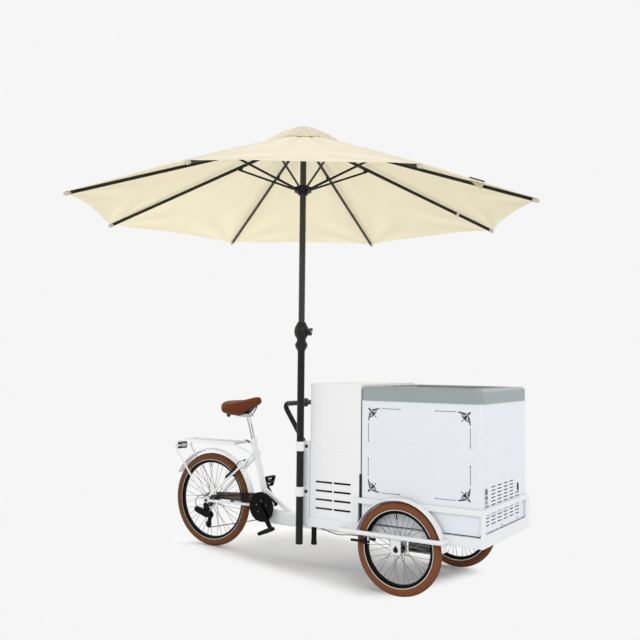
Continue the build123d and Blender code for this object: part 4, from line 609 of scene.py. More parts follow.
on_points = copies_tree()
thread = grained("tan_thread", (0.30, 0.135, 0.060), 0.7, 0.1, 2000, 50)
stitch_spots = []
for angle in (STITCH_ANGLE, pi - STITCH_ANGLE):
    line = [saddle_section(share, angle, 0.0002) for share in spread(*STITCH_REACH, STITCH_STEPS)]
    since = 0.0
    for start, end in zip(line, line[1:]):
        since += (end - start).length
        if since >= STITCH_PITCH:
            stitch_spots.append((end, along(end - start)))
            since = 0.0
copies("saddle_stitches", pill(0.0042, 0.0006, 5), stitch_spots, thread, "seat")

black_mould = grained("black_base_mould", MOULD_BLACK, 0.5, 0.1, 1200, 40)
base_angles = spread(BASE_ANGLE, 3 * pi - BASE_ANGLE, BASE_STEPS[1])
under = [[saddle_section(share, angle, BASE_PROUD) for angle in base_angles]
         for share in spread(*BASE_REACH, BASE_STEPS[0])]
inner = [[point + BASE_T for point in row] for row in under]
piece("saddle_base", shell(under, inner), black_mould, "seat")
bumper_spots = []
for side in (-1, 1):
    spot = saddle_point(SADDLE_TAIL + BUMPER_AT[0], side * BUMPER_AT[1], SADDLE_BASE + BUMPER_AT[2])
    bumper_spots.append((spot, (0, QUARTER - SADDLE_TILT, 0)))
copies("saddle_bumpers", pill(0.040, 0.013, 16), bumper_spots, black_mould, "seat")

chrome = grained("chrome_plate", (0.50, 0.50, 0.51), 0.09, 0.03, 200, 4, METAL)
paint(chrome.cover(RAIL_NOSE, MOULD_BLACK, 0.5, 0.0), "seat_post")
tube_line = (-sin(SEAT_TUBE_LEAN), 0, cos(SEAT_TUBE_LEAN))
clamp_paint = white_coat("white_clamp_paint")
lever = clamp_paint.from_line(BOTTOM_BRACKET, tube_line).ramp(CLAMP_RING_R, CLAMP_RING_R + EDGE_SOFT)
paint(clamp_paint.cover(lever, MOULD_BLACK, 0.4), "seat_clamp")


# Cranks, chain and changer
# Black cranks with a plain guard disc, a steel bush chain over ring, cog and two pulleys,
# and a smoked plastic guard on the stay. Links alternate between inner and outer plates.
CHAIN_Y = 0.333
CHAIN_PITCH = 0.0127
CHAIN_WHEELS = (
    # place in x and z, teeth and sense of turning, in the order the chain passes them
    (BOTTOM_BRACKET.xz, 38, 1),
    (REAR_HUB.xz, 14, 1),
    (REAR_HUB.xz + Vector((0.025, -0.095)), 11, -1),
    (REAR_HUB.xz + Vector((0.015, -0.158)), 11, 1),
)
ARC_STEPS = 40
RUN_STEPS = 20
PLATE_T = 0.0009
PLATE_END_R = 0.0033
PLATE_END_ANGLES = (-75, -25, 25, 75)
PLATE_WAIST = 0.62 * PLATE_END_R
PIN_SIDES = 8
LINKS = (
    # kind, half the gap between its plates, radius of its pins or bushes, their reach past the gap
    ("Outer Link", 0.0026, 0.0017, 1.35 * PLATE_T),
    ("Inner Link", 0.0017, 0.0026, 0.0),
)
CRANK_RING_Y = (0.329, 0.337)
RING_BOLTS = 5
RING_BOLT_FROM = radians(18)
RING_BOLT_R = 0.040
RING_BOLT_Y = 0.3142
CABLE_LEVEL = REAR_HUB.z - 0.012
CABLE_END = (REAR_HUB.x - 0.050, REAR_HUB.z - 0.043)
CABLE_SOFT = 0.001


def blackened(name, level, roughness, mirror=0.3):
    """Black with little mirror to it, as satin paint, oxide or moulding has."""
    colour = (level, level, level * 1.06)
    return grained(name, colour, roughness, 0.12, 900, 30, {"Specular IOR Level": mirror})


def chain_line():
    """Points of the closed chain line, every few millimetres."""
    wheels = []
    for centre, teeth, sense in CHAIN_WHEELS:
        wheels.append((centre, sense * CHAIN_PITCH / (2 * sin(pi / teeth))))
    leave, arrive = [], []
    for (first, reach), (second, next_reach) in zip(wheels, wheels[1:] + wheels[:1]):
        step = second - first
        normal = atan2(step.y, step.x) + acos((next_reach - reach) / step.length)
        across = Vector(polar(1, normal))
        leave.append(first - across * reach)
        arrive.append(second - across * next_reach)
    line = []
    for number, (centre, reach) in enumerate(wheels):
        start, end = arrive[number - 1] - centre, leave[number] - centre
        sense = copysign(1, reach)
        from_angle = atan2(start.y, start.x)
        sweep = (atan2(end.y, end.x) - from_angle) * sense % (2 * pi)
        for step in range(ARC_STEPS):
            angle = from_angle + sense * sweep * step / ARC_STEPS
            line.append(centre + Vector(polar(abs(reach), angle)))
        for step in range(RUN_STEPS):
            line.append(leave[number].lerp(arrive[number], step / RUN_STEPS))
    return [Vector((x, CHAIN_Y, z)) for x, z in line]


def prism(outline, low, high):
    """A solid between two levels of y over an outline in x and z, from x round to z."""
    return [(x, y, z) for y in (high, low) for x, z in outline], tube_faces(2, len(outline))


def joined(*shapes):
    points, faces = [], []
    for more_points, more_faces in shapes:
        faces += [tuple(len(points) + index for index in face) for face in more_faces]
        points += more_points
    return points, faces


def link_shape(gap, pin_r, past):
    """A pair of waisted plates, with the two pins or bushes between them."""
    half = CHAIN_PITCH / 2
    outline = []
    for side in (1, -1):
        for angle in PLATE_END_ANGLES:
            x, z = polar(PLATE_END_R, radians(angle))
            outline.append((side * (half + x), side * z))
        outline.append((0, side * PLATE_WAIST))
    shapes = [prism(outline, low, low + PLATE_T) for low in (-gap - PLATE_T, gap)]
    circle = [polar(pin_r, angle) for angle in full_turn(PIN_SIDES)]
    for end in (-half, half):
        shapes.append(prism([(end + x, z) for x, z in circle], -gap - past, gap + past))
    return joined(*shapes)


def links_tree():
    """Geometry nodes that lay two kinds of link in turn along a closed path."""
    kinds = {"Path": "Geometry", "Outer Link": "Object", "Inner Link": "Object",
             "Links": "Int", "Finish": "Material"}
    given = tree_with("links_on_path", kinds)
    wire = given["Path"]
    curve = {"Curve": wire.node("GeometryNodeMeshToCurve", {0: wire}), "Count": given["Links"]}
    places = wire.node("GeometryNodeResampleCurve", curve, mode="COUNT")
    tangent = {"Vector": wire.node("GeometryNodeInputTangent")}
    turns = wire.node("FunctionNodeAlignRotationToVector", tangent, axis="X", pivot_axis="Y")
    odd = wire.math("MODULO", wire.node("GeometryNodeInputIndex"), 2.0)
    both = wire.node("GeometryNodeJoinGeometry")
    for kind, chosen in (("Outer Link", odd), ("Inner Link", 1.0 - odd)):
        shape = wire.node("GeometryNodeObjectInfo", {"Object": given[kind]}, "Geometry")
        spots = {"Points": places, "Selection": chosen, "Instance": shape, "Rotation": turns}
        wire.feed(both.socket.node.inputs, {0: wire.node("GeometryNodeInstanceOnPoints", spots)})
    return close_tree(both, given["Finish"])


def around(angle):
    """Outward and forward directions at an angle about an axle that lies along Y."""
    outward = Vector((cos(angle), 0, sin(angle)))
    return outward, Vector((-outward.z, 0, outward.x))


chain_steel = grained("dark_chain_steel", (0.085, 0.083, 0.080), 0.42, 0.15, 900, 20, {"Metallic": 0.85})
line = chain_line()
line_edges = [(a, (a + 1) % len(line)) for a in range(len(line))]
line_length = sum((line[a] - line[b]).length for a, b in line_edges)
chain_inputs = {kind: link_shape(*sizes) for kind, *sizes in LINKS}
chain_inputs["Links"] = 2 * round(line_length / CHAIN_PITCH / 2)
chain_inputs["Finish"] = chain_steel.material
chain_path = mesh_of("chain_path", line, edges=line_edges)
chain = grow("drive_chain", links_tree(), chain_path, chain_inputs, "rear_frame", 30)
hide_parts("chain")

crank_black = blackened("black_crank", 0.003, 0.34, 0.08)
ring_teeth = crank_black.axis(1).band(*CRANK_RING_Y)
paint(crank_black.cover(ring_teeth, (0.20, 0.20, 0.20), 0.35, 0.9), "crank_set")
bolt_steel = grained("bolt_steel", (0.26, 0.26, 0.26), 0.30, 0.05, 600, 10, METAL)
bolt_spots = []
for angle in full_turn(RING_BOLTS, RING_BOLT_FROM):
    bolt_at = BOTTOM_BRACKET + around(angle)[0] * RING_BOLT_R
    bolt_at.y = RING_BOLT_Y
    bolt_spots.append((bolt_at, (0, 0, QUARTER)))
copies("ring_bolts", pill(0.005, 0.0045, 12), bolt_spots, bolt_steel, "cranks")
paint(blackened("black_pedal", 0.004, 0.5, 0.12), "pedal_right", "pedal_left")
paint(grained("cog_steel", (0.34, 0.33, 0.32), 0.34, 0.08, 500, 10, METAL), "cassette")
changer_black = blackened("black_changer", 0.003, 0.38, 0.1)
cable = changer_black.axis(2).above(CABLE_LEVEL, CABLE_SOFT)
cable_end = changer_black.axis(2).above(CABLE_END[1], CABLE_SOFT)
cable_end = cable_end * changer_black.axis(0).below(CABLE_END[0], CABLE_SOFT)
changer_black.cover(cable.math("MAXIMUM", cable, cable_end), (0.12, 0.12, 0.125), 0.45)
paint(changer_black, "derailleur")
paint(blackened("black_axle", 0.012, 0.35), "rear_axle", "front_axles")
smoked = grained("smoked_plastic", (0.090, 0.070, 0.057), 0.16, 0.05, 500, 20,
                 {"Transmission Weight": 1.0, "IOR": 1.25})
paint(smoked, "chain_guard")


# Wheels
# Brown tyres with slanted tread blocks on black alloy rims with a bright bead, laced with
# bright spokes to black hubs. Tyre, rim, nipples and valve turn together on the axle.
TYRE_SEGMENTS = 120
TYRE_STEPS = 44
TYRE_BEAD = 0.042
BEAD_FOOT = (0.044, 0.0125)
SHOULDER = (0.45, 0.6)
CENTRE_RIDGE = (0.990, 0.994)
RIDGE_SHARE = 0.85
SIDE_RINGS = 60
SIDE_RING_DEPTH = 0.0005
SIDE_WALL = (0.25, 0.45)
TREAD_DEPTH = 0.0016
TREAD_ROWS = ((-33, 0.5), (-14, 0.0), (14, 0.5), (33, 0.0))
TREAD_PITCH = 0.0195
TREAD_FOOT = ((-0.0058, -0.0042), (0.0040, -0.0042), (0.0058, 0.0042), (-0.0040, 0.0042))
TREAD_TAPER = (0.86, 0.84)
TREAD_SUNK = -0.0006
TREAD_TOP = TREAD_DEPTH - 0.0003
SPOKES = 36
NIPPLE_SIDE = Vector((0, 0.0022, 0))
VALVE_ANGLE = radians(95)
RIM_WELL = 0.064
RIM_BEAD = 0.0459
RIM_BEAD_SOFT = 0.0003
HUB_EDGE = 0.0275
FRONT_BROWN = (0.192, 0.066, 0.026)
WHEELS = (
    # body, centre of the hub, tyre's outer radius, width and colour
    ("rear_wheel", REAR_HUB, 0.310, 0.050, (0.140, 0.050, 0.015)),
    ("front_wheel_right", Vector((0.646, -0.007, 0.250)), 0.250, 0.048, FRONT_BROWN),
    ("front_wheel_left", Vector((0.646, 0.781, 0.250)), 0.250, 0.048, FRONT_BROWN),
)


def tyre_profile(radius, width):
    """Points (distance from the axle, sideways) from one bead round the tread to the other."""
    half = width / 2
    centre = radius - half
    lean = pi - acos((centre - (radius - TYRE_BEAD)) / half)
    profile = [(radius - BEAD_FOOT[0], -BEAD_FOOT[1])]
    for angle in spread(-lean, lean, TYRE_STEPS):
        crown = cos(angle)
        reach = half - TREAD_DEPTH * ease(crown, *SHOULDER)
        reach += TREAD_DEPTH * RIDGE_SHARE * ease(crown, *CENTRE_RIDGE)
        ring = 0.5 + 0.5 * cos(SIDE_RINGS * angle)
        reach -= SIDE_RING_DEPTH * ring * (1 - ease(crown, *SIDE_WALL))
        profile.append((centre + reach * crown, reach * sin(angle)))
    return profile + [(radius - BEAD_FOOT[0], BEAD_FOOT[1])]


def turned(profile, centre, segments):
    """A closed profile turned round an axle that lies along Y."""
    points = []
    for angle in full_turn(segments):
        outward, forward = around(angle)
        points += [centre + outward * away + Vector((0, side, 0)) for away, side in profile]
    return points, lattice(segments, len(profile), True)


def tread_block():
    """A slanted block with chamfered edges, x along the tread and z outwards."""
    points = [(x, y, TREAD_SUNK) for x, y in TREAD_FOOT]
    points += [(TREAD_TAPER[0] * x, TREAD_TAPER[1] * y, TREAD_TOP) for x, y in TREAD_FOOT]
    return points, tube_faces(2, 4)


def facing(outward, heading):
    """Angles that turn z outwards and x along a heading square to it."""
    sideways = outward.cross(heading)
    return Matrix((heading, sideways, outward)).transposed().to_euler()


spoke_metal = grained("nickel_plate", (0.60, 0.60, 0.61), 0.25, 0.05, 600, 10, METAL)
for wheel_body, hub_at, tyre_radius, tyre_width, tyre_brown in WHEELS:
    wheel_name = wheel_body.replace("_wheel", "")
    brown_rubber = grained(f"{wheel_name}_brown_rubber", tyre_brown, 0.66, 0.10, 900, 60,
                           {"Specular IOR Level": 0.18})
    carcass = turned(tyre_profile(tyre_radius, tyre_width), hub_at, TYRE_SEGMENTS)
    tyre = piece(f"{wheel_name}_tyre_carcass", carcass, brown_rubber, wheel_body, 35)
    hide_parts(wheel_body.replace("wheel", "tyre"))
    blocks = round(2 * pi * tyre_radius / TREAD_PITCH)
    spots = []
    for lean, stagger in TREAD_ROWS:
        for number in range(blocks):
            outward, forward = around(2 * pi * (number + stagger) / blocks)
            normal = outward * cos(radians(lean)) + Vector((0, sin(radians(lean)), 0))
            spot = hub_at + outward * (tyre_radius - tyre_width / 2)
            spot += normal * (tyre_width / 2 - TREAD_DEPTH)
            spots.append((spot, facing(normal, -forward if lean > 0 else forward)))
    copies(f"{wheel_name}_tread", tread_block(), spots, brown_rubber, wheel_body, 20)

    rim_black = blackened(f"{wheel_name}_rim_finish", 0.002, 0.36, 0.08)
    away = rim_black.from_line(hub_at, AXLE_LINE)
    spokes = away.band(HUB_EDGE, tyre_radius - RIM_WELL - 0.0006, MASK_SOFT)
    rim_black.cover(spokes, (0.24, 0.235, 0.23), 0.34, 0.7)
    bead = away.above(tyre_radius - RIM_BEAD, RIM_BEAD_SOFT)
    rim_black.cover(bead, (0.70, 0.70, 0.71), 0.25, 0.9)
    paint(rim_black, wheel_body)

    spots = []
    for number, angle in enumerate(full_turn(SPOKES)):
        outward, forward = around(angle)
        side = -NIPPLE_SIDE if number % 2 else NIPPLE_SIDE
        spots.append((hub_at + outward * (tyre_radius - RIM_WELL - 0.003) + side, along(outward)))
    copies(f"{wheel_name}_nipples", pill(0.012, 0.0021), spots, spoke_metal, wheel_body)
    outward, forward = around(VALVE_ANGLE)
    spots = [(hub_at + outward * (tyre_radius - RIM_WELL - 0.014), along(outward))]
    valve_rubber = blackened(f"{wheel_name}_valve_rubber", 0.012, 0.5)
    copies(f"{wheel_name}_valve", pill(0.034, 0.0034, 10), spots, valve_rubber, wheel_body)


# Rim brakes
# Black cast arms with rubber shoes beside the rims, pivoting on bosses of the stays and the
# chassis; the cable runs along the near rail.
brake_black = blackened("black_brake", 0.005, 0.36, 0.15)
paint(brake_black, "rear_brake_arm_right", "rear_brake_arm_left", "front_brakes", "brake_lever")


# Rear brake linkage
# A bent steel noodle leads the brake wire from the right arm over the mudguard; a ribbed rubber
# boot covers its end and the anchor on the left arm.
BRAKE_TOP = Vector((-0.735, 0, 0.546))
BRAKE_ALONG = Vector((0.56, 0, 0.83))
ARM_TOPS_Y = (0.332, 0.442)
NOODLE_RISE = 0.048
ROD_R = 0.0026
ROD_SIDES = 10
BEND_STEPS = 8
RODS = (
    # name, y of its arm, y of its end, reach of its bend, body
    ("brake_noodle", ARM_TOPS_Y[0], 0.403, 0.016, "brake_arm_right"),
    ("brake_anchor", ARM_TOPS_Y[1], 0.429, 0.006, "brake_arm_left"),
)
BOOT_Y = (0.393, 0.433)
BOOT_R = (0.0066, 0.0084)
BOOT_BORE = 0.0060
BOOT_RIBS = 7
BOOT_SIDES = 16


def bent_rod(start, corner, end, bend):
    """A round rod from start to end, with a bend of the given reach at its corner."""
    before = corner + (start - corner).normalized() * bend
    after = corner + (end - corner).normalized() * bend
    path = [start]
    for share in spread(0, 1, BEND_STEPS):
        path.append(before * (1 - share) ** 2 + corner * (2 * share * (1 - share)) + after * share ** 2)
    path.append(end)
    upright = (start - corner).cross(end - corner).normalized()
    points = []
    for index, place in enumerate(path):
        heading = path[min(index + 1, len(path) - 1)] - path[max(index - 1, 0)]
        beside = upright.cross(heading).normalized()
        for angle in full_turn(ROD_SIDES):
            u, v = polar(ROD_R, angle)
            points.append(place + beside * u + upright * v)
    return points, tube_faces(len(path), ROD_SIDES)


crossing = BRAKE_TOP + BRAKE_ALONG * NOODLE_RISE
for rod_name, arm_y, end_y, bend, rod_body in RODS:
    start, corner, end = BRAKE_TOP.copy(), crossing.copy(), crossing.copy()
    start.y, corner.y, end.y = arm_y, arm_y, end_y
    piece(rod_name, bent_rod(start, corner, end, bend), brake_black, rod_body)
boot_profile = [(BOOT_BORE, BOOT_Y[1]), (BOOT_BORE, BOOT_Y[0])]
for step, y in enumerate(spread(*BOOT_Y, 2 * BOOT_RIBS)):
    boot_profile.append((BOOT_R[step % 2], y))
boot_rubber = blackened("black_boot_rubber", 0.012, 0.6)
boot = turned(boot_profile, crossing, BOOT_SIDES)
piece("brake_boot", boot, boot_rubber, "brake_arm_left", 25)


# Chassis
# White box-section rails with a raised front frame, rolled wheel rails and pressed fenders;
# the steering pin hangs under the middle plate with its bare steel collar and nut.
STEERING_PIN = ((0.395, 0.336, 0.15), (0.497, 0.438, 0.2955))
AXLE_PLACE = (0.646, 0.250)
LOCKS_Y = (-0.0485, 0.8201)
LOCK_T = 0.0024
LOCK_R = 0.0140
LOCK_POINT = 0.0235
LOCK_ROUND = (radians(40), radians(-220))
LOCK_STEPS = 16
LEG_FOOT_Z = 0.214

chassis_paint = white_coat("white_chassis_paint")
paint(chassis_paint.cover(STEERING_PIN, (0.36, 0.36, 0.37), 0.35, 0.9), "chassis_frame")
lock_black = blackened("black_lock_plate", 0.010, 0.45)
outline = [(0.0, LOCK_POINT)] + [polar(LOCK_R, angle) for angle in spread(*LOCK_ROUND, LOCK_STEPS)]
outline = [(AXLE_PLACE[0] + x, AXLE_PLACE[1] + z) for x, z in outline]
plates = joined(*(prism(outline, low, low + LOCK_T) for low in LOCKS_Y))
piece("axle_lock_plates", plates, lock_black, "box")
leg_paint = blackened("black_leg_paint", 0.004, 0.4, 0.12)
leg_foot = leg_paint.axis(2).below(LEG_FOOT_Z)
paint(leg_paint.cover(leg_foot, (0.006, 0.006, 0.006), 0.7), "support_leg")


# Freezer
# Foamed box in pale enamelled sheet with a moulded tub; a compressor stands behind the front
# grille. Both long sides carry printed scrolls and rules, and screws hold the front panel.
FREEZER_FRONT = 1.092
FREEZER_SIDES = (("panel_print_right", 0.041, -1), ("panel_print_left", 0.733, 1))
BAY = ((0.817, 0.070, 0.354), (1.0888, 0.704, 0.6095))
PLINTH_SLIT = ((0.470, 0.0, 0.349), (1.085, 0.80, 0.3571))
FRONT_SEAM = ((1.085, 0.03, 0.349), (1.10, 0.74, 0.3640))
SEAM_WAVER = 0.012
BEZEL = ((1.0922, 0.083, 0.508), (1.10, 0.129, 0.600))
BEZEL_WINDOWS = ((0.5625, 0.5915, 0.012), (0.5375, 0.5555, 0.014), (0.5135, 0.5315, 0.22))
WINDOW_X = (1.0905, 1.0938)
WINDOW_Y = (0.0885, 0.1235)
SCREWS_Y = (0.105, 0.340, 0.584)
SCREW_Z = 0.375
LATCH_AT = (FREEZER_FRONT + 0.001, 0.594, 0.549)
LATCH_FLAT = (1, 0.42)
PRINT_X = ((0.425, 1), (1.036, -1))
PRINT_Z = ((0.525, 1), (0.994, -1))
PRINT_LEVELS = (-0.0002, 0.0004)
STROKE_SCALE = 1.2
CURL = ((0.041, 0.017), 0.015, radians(200), -1.55, 0.0032)
CURL_STEPS = 32
LEAF_STEPS = 10
LEAF_TIP = 0.0003
HALF_LEAVES = (
    # start and end inwards from a corner, width and bow, on one side of the corner's diagonal
    ((0.020, 0.011), (0.058, 0.001), 0.0046, 0.16),
    ((0.050, 0.012), (0.078, 0.006), 0.0060, -0.10),
    ((0.030, 0.028), (0.052, 0.031), 0.0050, 0.22),
    ((0.018, 0.022), (0.034, 0.036), 0.0034, -0.2),
    ((0.0405, 0.0155), (0.0435, 0.0185), 0.0052),
)
MIDDLE_LEAVES = (
    ((0.002, 0.002), (0.024, 0.024), 0.0082),
    ((0.024, 0.024), (0.050, 0.050), 0.0036),
    ((0.047, 0.047), (0.0535, 0.0535), 0.0062),
)
RULE_FROM = 0.086
RULE_IN = 0.004
RULE_LENGTHS = (0.108, 0.096)
RULE_W = 0.0024
DOT_SPAN = (0.001, 0.009)
DOT_W = 0.0060

enamel = grained("pale_enamel", (0.785, 0.822, 0.880), 0.30, 0.010, 300, 30, {"Coat Weight": 0.2})
enamel.cover(BAY, (0.09, 0.09, 0.095), 0.6)
enamel.cover(PLINTH_SLIT, (0.012, 0.012, 0.012), 0.7)
seam_edge = FRONT_SEAM[1][2] + (enamel.noise(45.0) - 0.5) * SEAM_WAVER
seam = enamel.inside(*FRONT_SEAM) * enamel.axis(2).below(seam_edge)
enamel.cover(seam, (0.03, 0.03, 0.032), 0.7)
enamel.cover(BEZEL, (0.66, 0.67, 0.69), 0.35)
for low, high, tone in BEZEL_WINDOWS:
    window = (WINDOW_X[0], WINDOW_Y[0], low), (WINDOW_X[1], WINDOW_Y[1], high)
    enamel.cover(window, (tone, tone, tone), 0.2)
paint(enamel, "freezer_body")
paint(grained("white_tub_plastic", (0.80, 0.81, 0.82), 0.28, 0.02, 200, 20), "freezer_liner")
machine_black = blackened("black_machine_enamel", 0.014, 0.35)
paint(machine_black, "compressor")


def ribbon(path, widths):
    """Both edges of a tapering stroke along a flat path."""
    left, right = [], []
    for index, (u, v) in enumerate(path):
        before, after = path[max(0, index - 1)], path[min(len(path) - 1, index + 1)]
        step = (after[0] - before[0], after[1] - before[1])
        half = STROKE_SCALE * widths[index] / 2 / (hypot(*step) or 1.0)
        left.append((u - half * step[1], v + half * step[0]))
        right.append((u + half * step[1], v - half * step[0]))
    return left, right


def curl(centre, radius, start, turns, width):
    """A scroll that winds in towards its centre."""
    path, widths = [], []
    for share in spread(0, 1, CURL_STEPS):
        u, v = polar(radius * (1 - 0.80 * share), start + 2 * pi * turns * share)
        path.append((centre[0] + u, centre[1] + v))
        swell = sin(pi * min(1.0, share * 1.15)) ** 0.7 * (1 - 0.4 * share)
        widths.append(width * (0.55 + 0.9 * swell))
    return ribbon(path, widths)


def leaf(start, end, width, bow=0.0):
    """A leaf that swells and comes to a point, bowed to one side."""
    path, widths = [], []
    u, v = end[0] - start[0], end[1] - start[1]
    for share in spread(0, 1, LEAF_STEPS):
        lift = bow * sin(pi * share)
        path.append((start[0] + u * share - v * lift, start[1] + v * share + u * lift))
        widths.append(LEAF_TIP + width * sin(pi * share ** 0.7) ** 0.9)
    return ribbon(path, widths)


def flipped(path):
    return [(v, u) for u, v in path]


def corner_strokes():
    """Scroll, leaves and rules of one corner, in metres inwards from it."""
    half = [curl(*CURL)] + [leaf(*row) for row in HALF_LEAVES]
    strokes = half + [(flipped(right), flipped(left)) for left, right in half]
    strokes += [leaf(*row) for row in MIDDLE_LEAVES]
    for upright, length in enumerate(RULE_LENGTHS):
        reaches = (0, length, length + DOT_SPAN[0], length + DOT_SPAN[1])
        stops = [(RULE_FROM + reach, RULE_IN) for reach in reaches]
        if upright:
            stops = flipped(stops)
        strokes += [ribbon(stops[:2], (RULE_W, RULE_W)), leaf(*stops[2:], DOT_W)]
    return strokes


ink = grained("grey_ink", (0.042, 0.043, 0.047), 0.5, 0.1, 900, 20)
for print_name, panel_y, outward in FREEZER_SIDES:
    shapes = []
    for corner_x, sign_x in PRINT_X:
        for corner_z, sign_z in PRINT_Z:
            for left, right in corner_strokes():
                grids = []
                for level in PRINT_LEVELS:
                    y = panel_y + level * outward
                    rows = [[(corner_x + sign_x * u, y, corner_z + sign_z * v) for u, v in pair]
                            for pair in zip(left, right)]
                    grids.append(rows)
                shapes.append(shell(*grids))
    piece(print_name, joined(*shapes), ink, "box")
screw_spots = [((FREEZER_FRONT, y, SCREW_Z), (0, 0, 0)) for y in SCREWS_Y]
copies("front_screws", pill(0.005, 0.0048, 12), screw_spots, machine_black, "box")
latch = pill(0.046, 0.011, 16, LATCH_FLAT)
copies("bay_latch", latch, [(LATCH_AT, (0, QUARTER, 0))], machine_black, "box")


# Collar and sliding lids
# Grey moulded collar round the top opening; two panes of clear glass in grey edging slide
# over one another in its tracks, each with a finger grip along its outer end.
COLLAR_GREY = (0.312, 0.350, 0.364)
LID_EDGE = 0.012
LID_GRIP = 0.023
PANE_LEVELS = (-0.01, 0.0052)

paint(grained("grey_collar_plastic", COLLAR_GREY, 0.40, 0.02, 1100, 40), "freezer_cap")
for lid_name, grip_side in (("lid_front", 1), ("lid_rear", -1)):
    low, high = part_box(lid_name)
    pane = Finish(f"{lid_name}_glass", {"Base Color": (0.90, 0.95, 0.94, 1), "IOR": 1.5})
    pane.set({"Transmission Weight": 1.0, "Roughness": 0.02 + pane.noise(14.0) * 0.05})
    grey = pane.noise(6.0).blend(opaque(COLLAR_GREY, 0.72), opaque(COLLAR_GREY, 0.80))
    edging = grey.node("ShaderNodeBsdfPrincipled", {"Base Color": grey, "Roughness": 0.4})
    clear = pane.inside((low.x + LID_EDGE, low.y + LID_EDGE, low.z + PANE_LEVELS[0]),
                        (high.x - LID_EDGE, high.y - LID_EDGE, low.z + PANE_LEVELS[1]))
    grip = (high if grip_side > 0 else low).x - grip_side * LID_GRIP
    clear = clear * pane.axis(0).ramp(grip, grip - grip_side * 0.001)
    pane.surface(clear, edging, pane.plain)
    paint(pane, lid_name)


# Cabinet
# Folded white sheet with slits low on the near side and a hinged door on the far side; the
# battery and inverter stand inside, and a black rubber strip closes the joint to the freezer.
JOINT_STRIPS = (
    # between the two boxes, and its lip on the near side
    ((0.3786, 0.0470, 0.3520), (0.3836, 0.7270, 1.0300)),
    ((0.3735, 0.0386, 0.3600), (0.3895, 0.0410, 0.6200)),
)
CONTROLLER_TOP = 0.2965
STRIPE_PITCH = 0.0195

cabinet_paint = grained("white_cabinet_paint", (0.862, 0.872, 0.892), 0.34, 0.010, 420, 40)
paint(cabinet_paint, "cabinet_body", "cabinet_door")
pack_plastic = blackened("black_pack_plastic", 0.014, 0.5)
height = pack_plastic.axis(2)
case = height.ramp(CONTROLLER_TOP, CONTROLLER_TOP - EDGE_SOFT)
pack_plastic.cover(case, (0.020, 0.020, 0.021), 0.35, 0.3)
# Pale bands across the lower black case are painted highlights.
painted_highlight_stripes = height.wave(2 * pi / STRIPE_PITCH).ramp(0.55, 0.75)
pack_plastic.cover(case * painted_highlight_stripes, (0.30, 0.30, 0.31), 0.4)
paint(pack_plastic, "power_pack")
strips = []
for (x0, y0, z0), (x1, y1, z1) in JOINT_STRIPS:
    strips.append(prism([(x0, z0), (x1, z0), (x1, z1), (x0, z1)], y0, y1))
strip_rubber = blackened("black_strip_rubber", 0.010, 0.65)
piece("joint_strip", joined(*strips), strip_rubber, "box")


# Handlebar
# Black bent tube on two flanges of the cabinet's rear face, with the brake lever's housing
# clamped at the middle.
paint(blackened("black_bar_paint", 0.006, 0.32, 0.2), "handlebar")


# Parasol pole
# Black steel tube held to the corner post by two white straps; the mast slides in it and is
# held by a lobed screw through the moulded coupling.
CLAMP_BOLTS = ((0.020, 0.0130, 0.40), (0.044, 0.0204, 0.80))
CLAMP_CAPS = ((0.032, 0.0168, 0.4965), (0.032, 0.0168, 0.756))
COUPLING_Z = (1.3055, 1.4765)
KNOB_LINE = ((0, 0, 1.4216), (*polar(1, radians(5)), 0))
KNOB_INSERT_R = (0.0056, 0.0052)

strap_paint = white_coat("white_strap_paint")
paint(strap_paint.cover(CLAMP_BOLTS, (0.014, 0.014, 0.015), 0.4), "pole_clamps")
pole_paint = blackened("black_pole_paint", 0.006, 0.22, 0.26)
coupling = pole_paint.axis(2).band(*COUPLING_Z)
paint(pole_paint.cover(coupling, (0.012, 0.012, 0.012), 0.42), "lower_pole")
# The mast's black is lighter than the lower pole's: painted light for the lit upper pole.
paint(blackened("black_mast_painted_lighter", 0.026, 0.30, 0.4), "upper_pole")
knob_plastic = blackened("black_knob_plastic", 0.012, 0.42)
insert = knob_plastic.from_line(*KNOB_LINE).ramp(*KNOB_INSERT_R)
paint(knob_plastic.cover(insert, (0.45, 0.45, 0.46), 0.3, 0.9), "pole_knob")
cap_black = blackened("black_clamp_cap", 0.006, 0.45)
cap_spots = [(place, (0, 0, QUARTER)) for place in CLAMP_CAPS]
copies("clamp_bolt_caps", pill(0.010, 0.0100, 16), cap_spots, cap_black, "box")


# Parasol frame
# Eight black box-section ribs hinged in the crown and braced by struts from the sliding
# runner; ivory caps close the tips, and a webbing loop keeps the cloth on one rib.
RIBS = 8
RIB_AZIMUTH = radians(11.4)
RIB_SLOPE = radians(18.5)
RIB_HINGE_R = 0.038
RIB_HINGE_Z = 2.54699
RIB_HALF_W = 0.006
RIB_HALF_H = 0.009
LOOP_RIB = 1
LOOP_AT = 1.075
LOOP_HALF_LENGTH = 0.009
LOOP_INSIDE = (RIB_HALF_W + 0.0002, RIB_HALF_H + 0.0002)
LOOP_OUTSIDE = (RIB_HALF_W + 0.0024, RIB_HALF_H + 0.0026)
TIP_CAP = (1.316, 1.3555)
TIP_CAP_R = 0.0112
TIP_CAP_FLAT = (0.95, 1.05)


def rib_frame(number):
    """Outward and sideways directions of a rib, level with the ground."""
    outward = Vector((*polar(1, RIB_AZIMUTH + number * 2 * pi / RIBS), 0))
    return outward, Vector((-outward.y, outward.x, 0))


def on_rib(number, distance):
    """Spot on a rib's middle line at a distance from the pole, turned along the rib."""
    outward, sideways = rib_frame(number)
    place = outward * distance
    place.z = RIB_HINGE_Z - (distance - RIB_HINGE_R) * tan(RIB_SLOPE)
    return place, along(outward * cos(RIB_SLOPE) - Vector((0, 0, sin(RIB_SLOPE))))


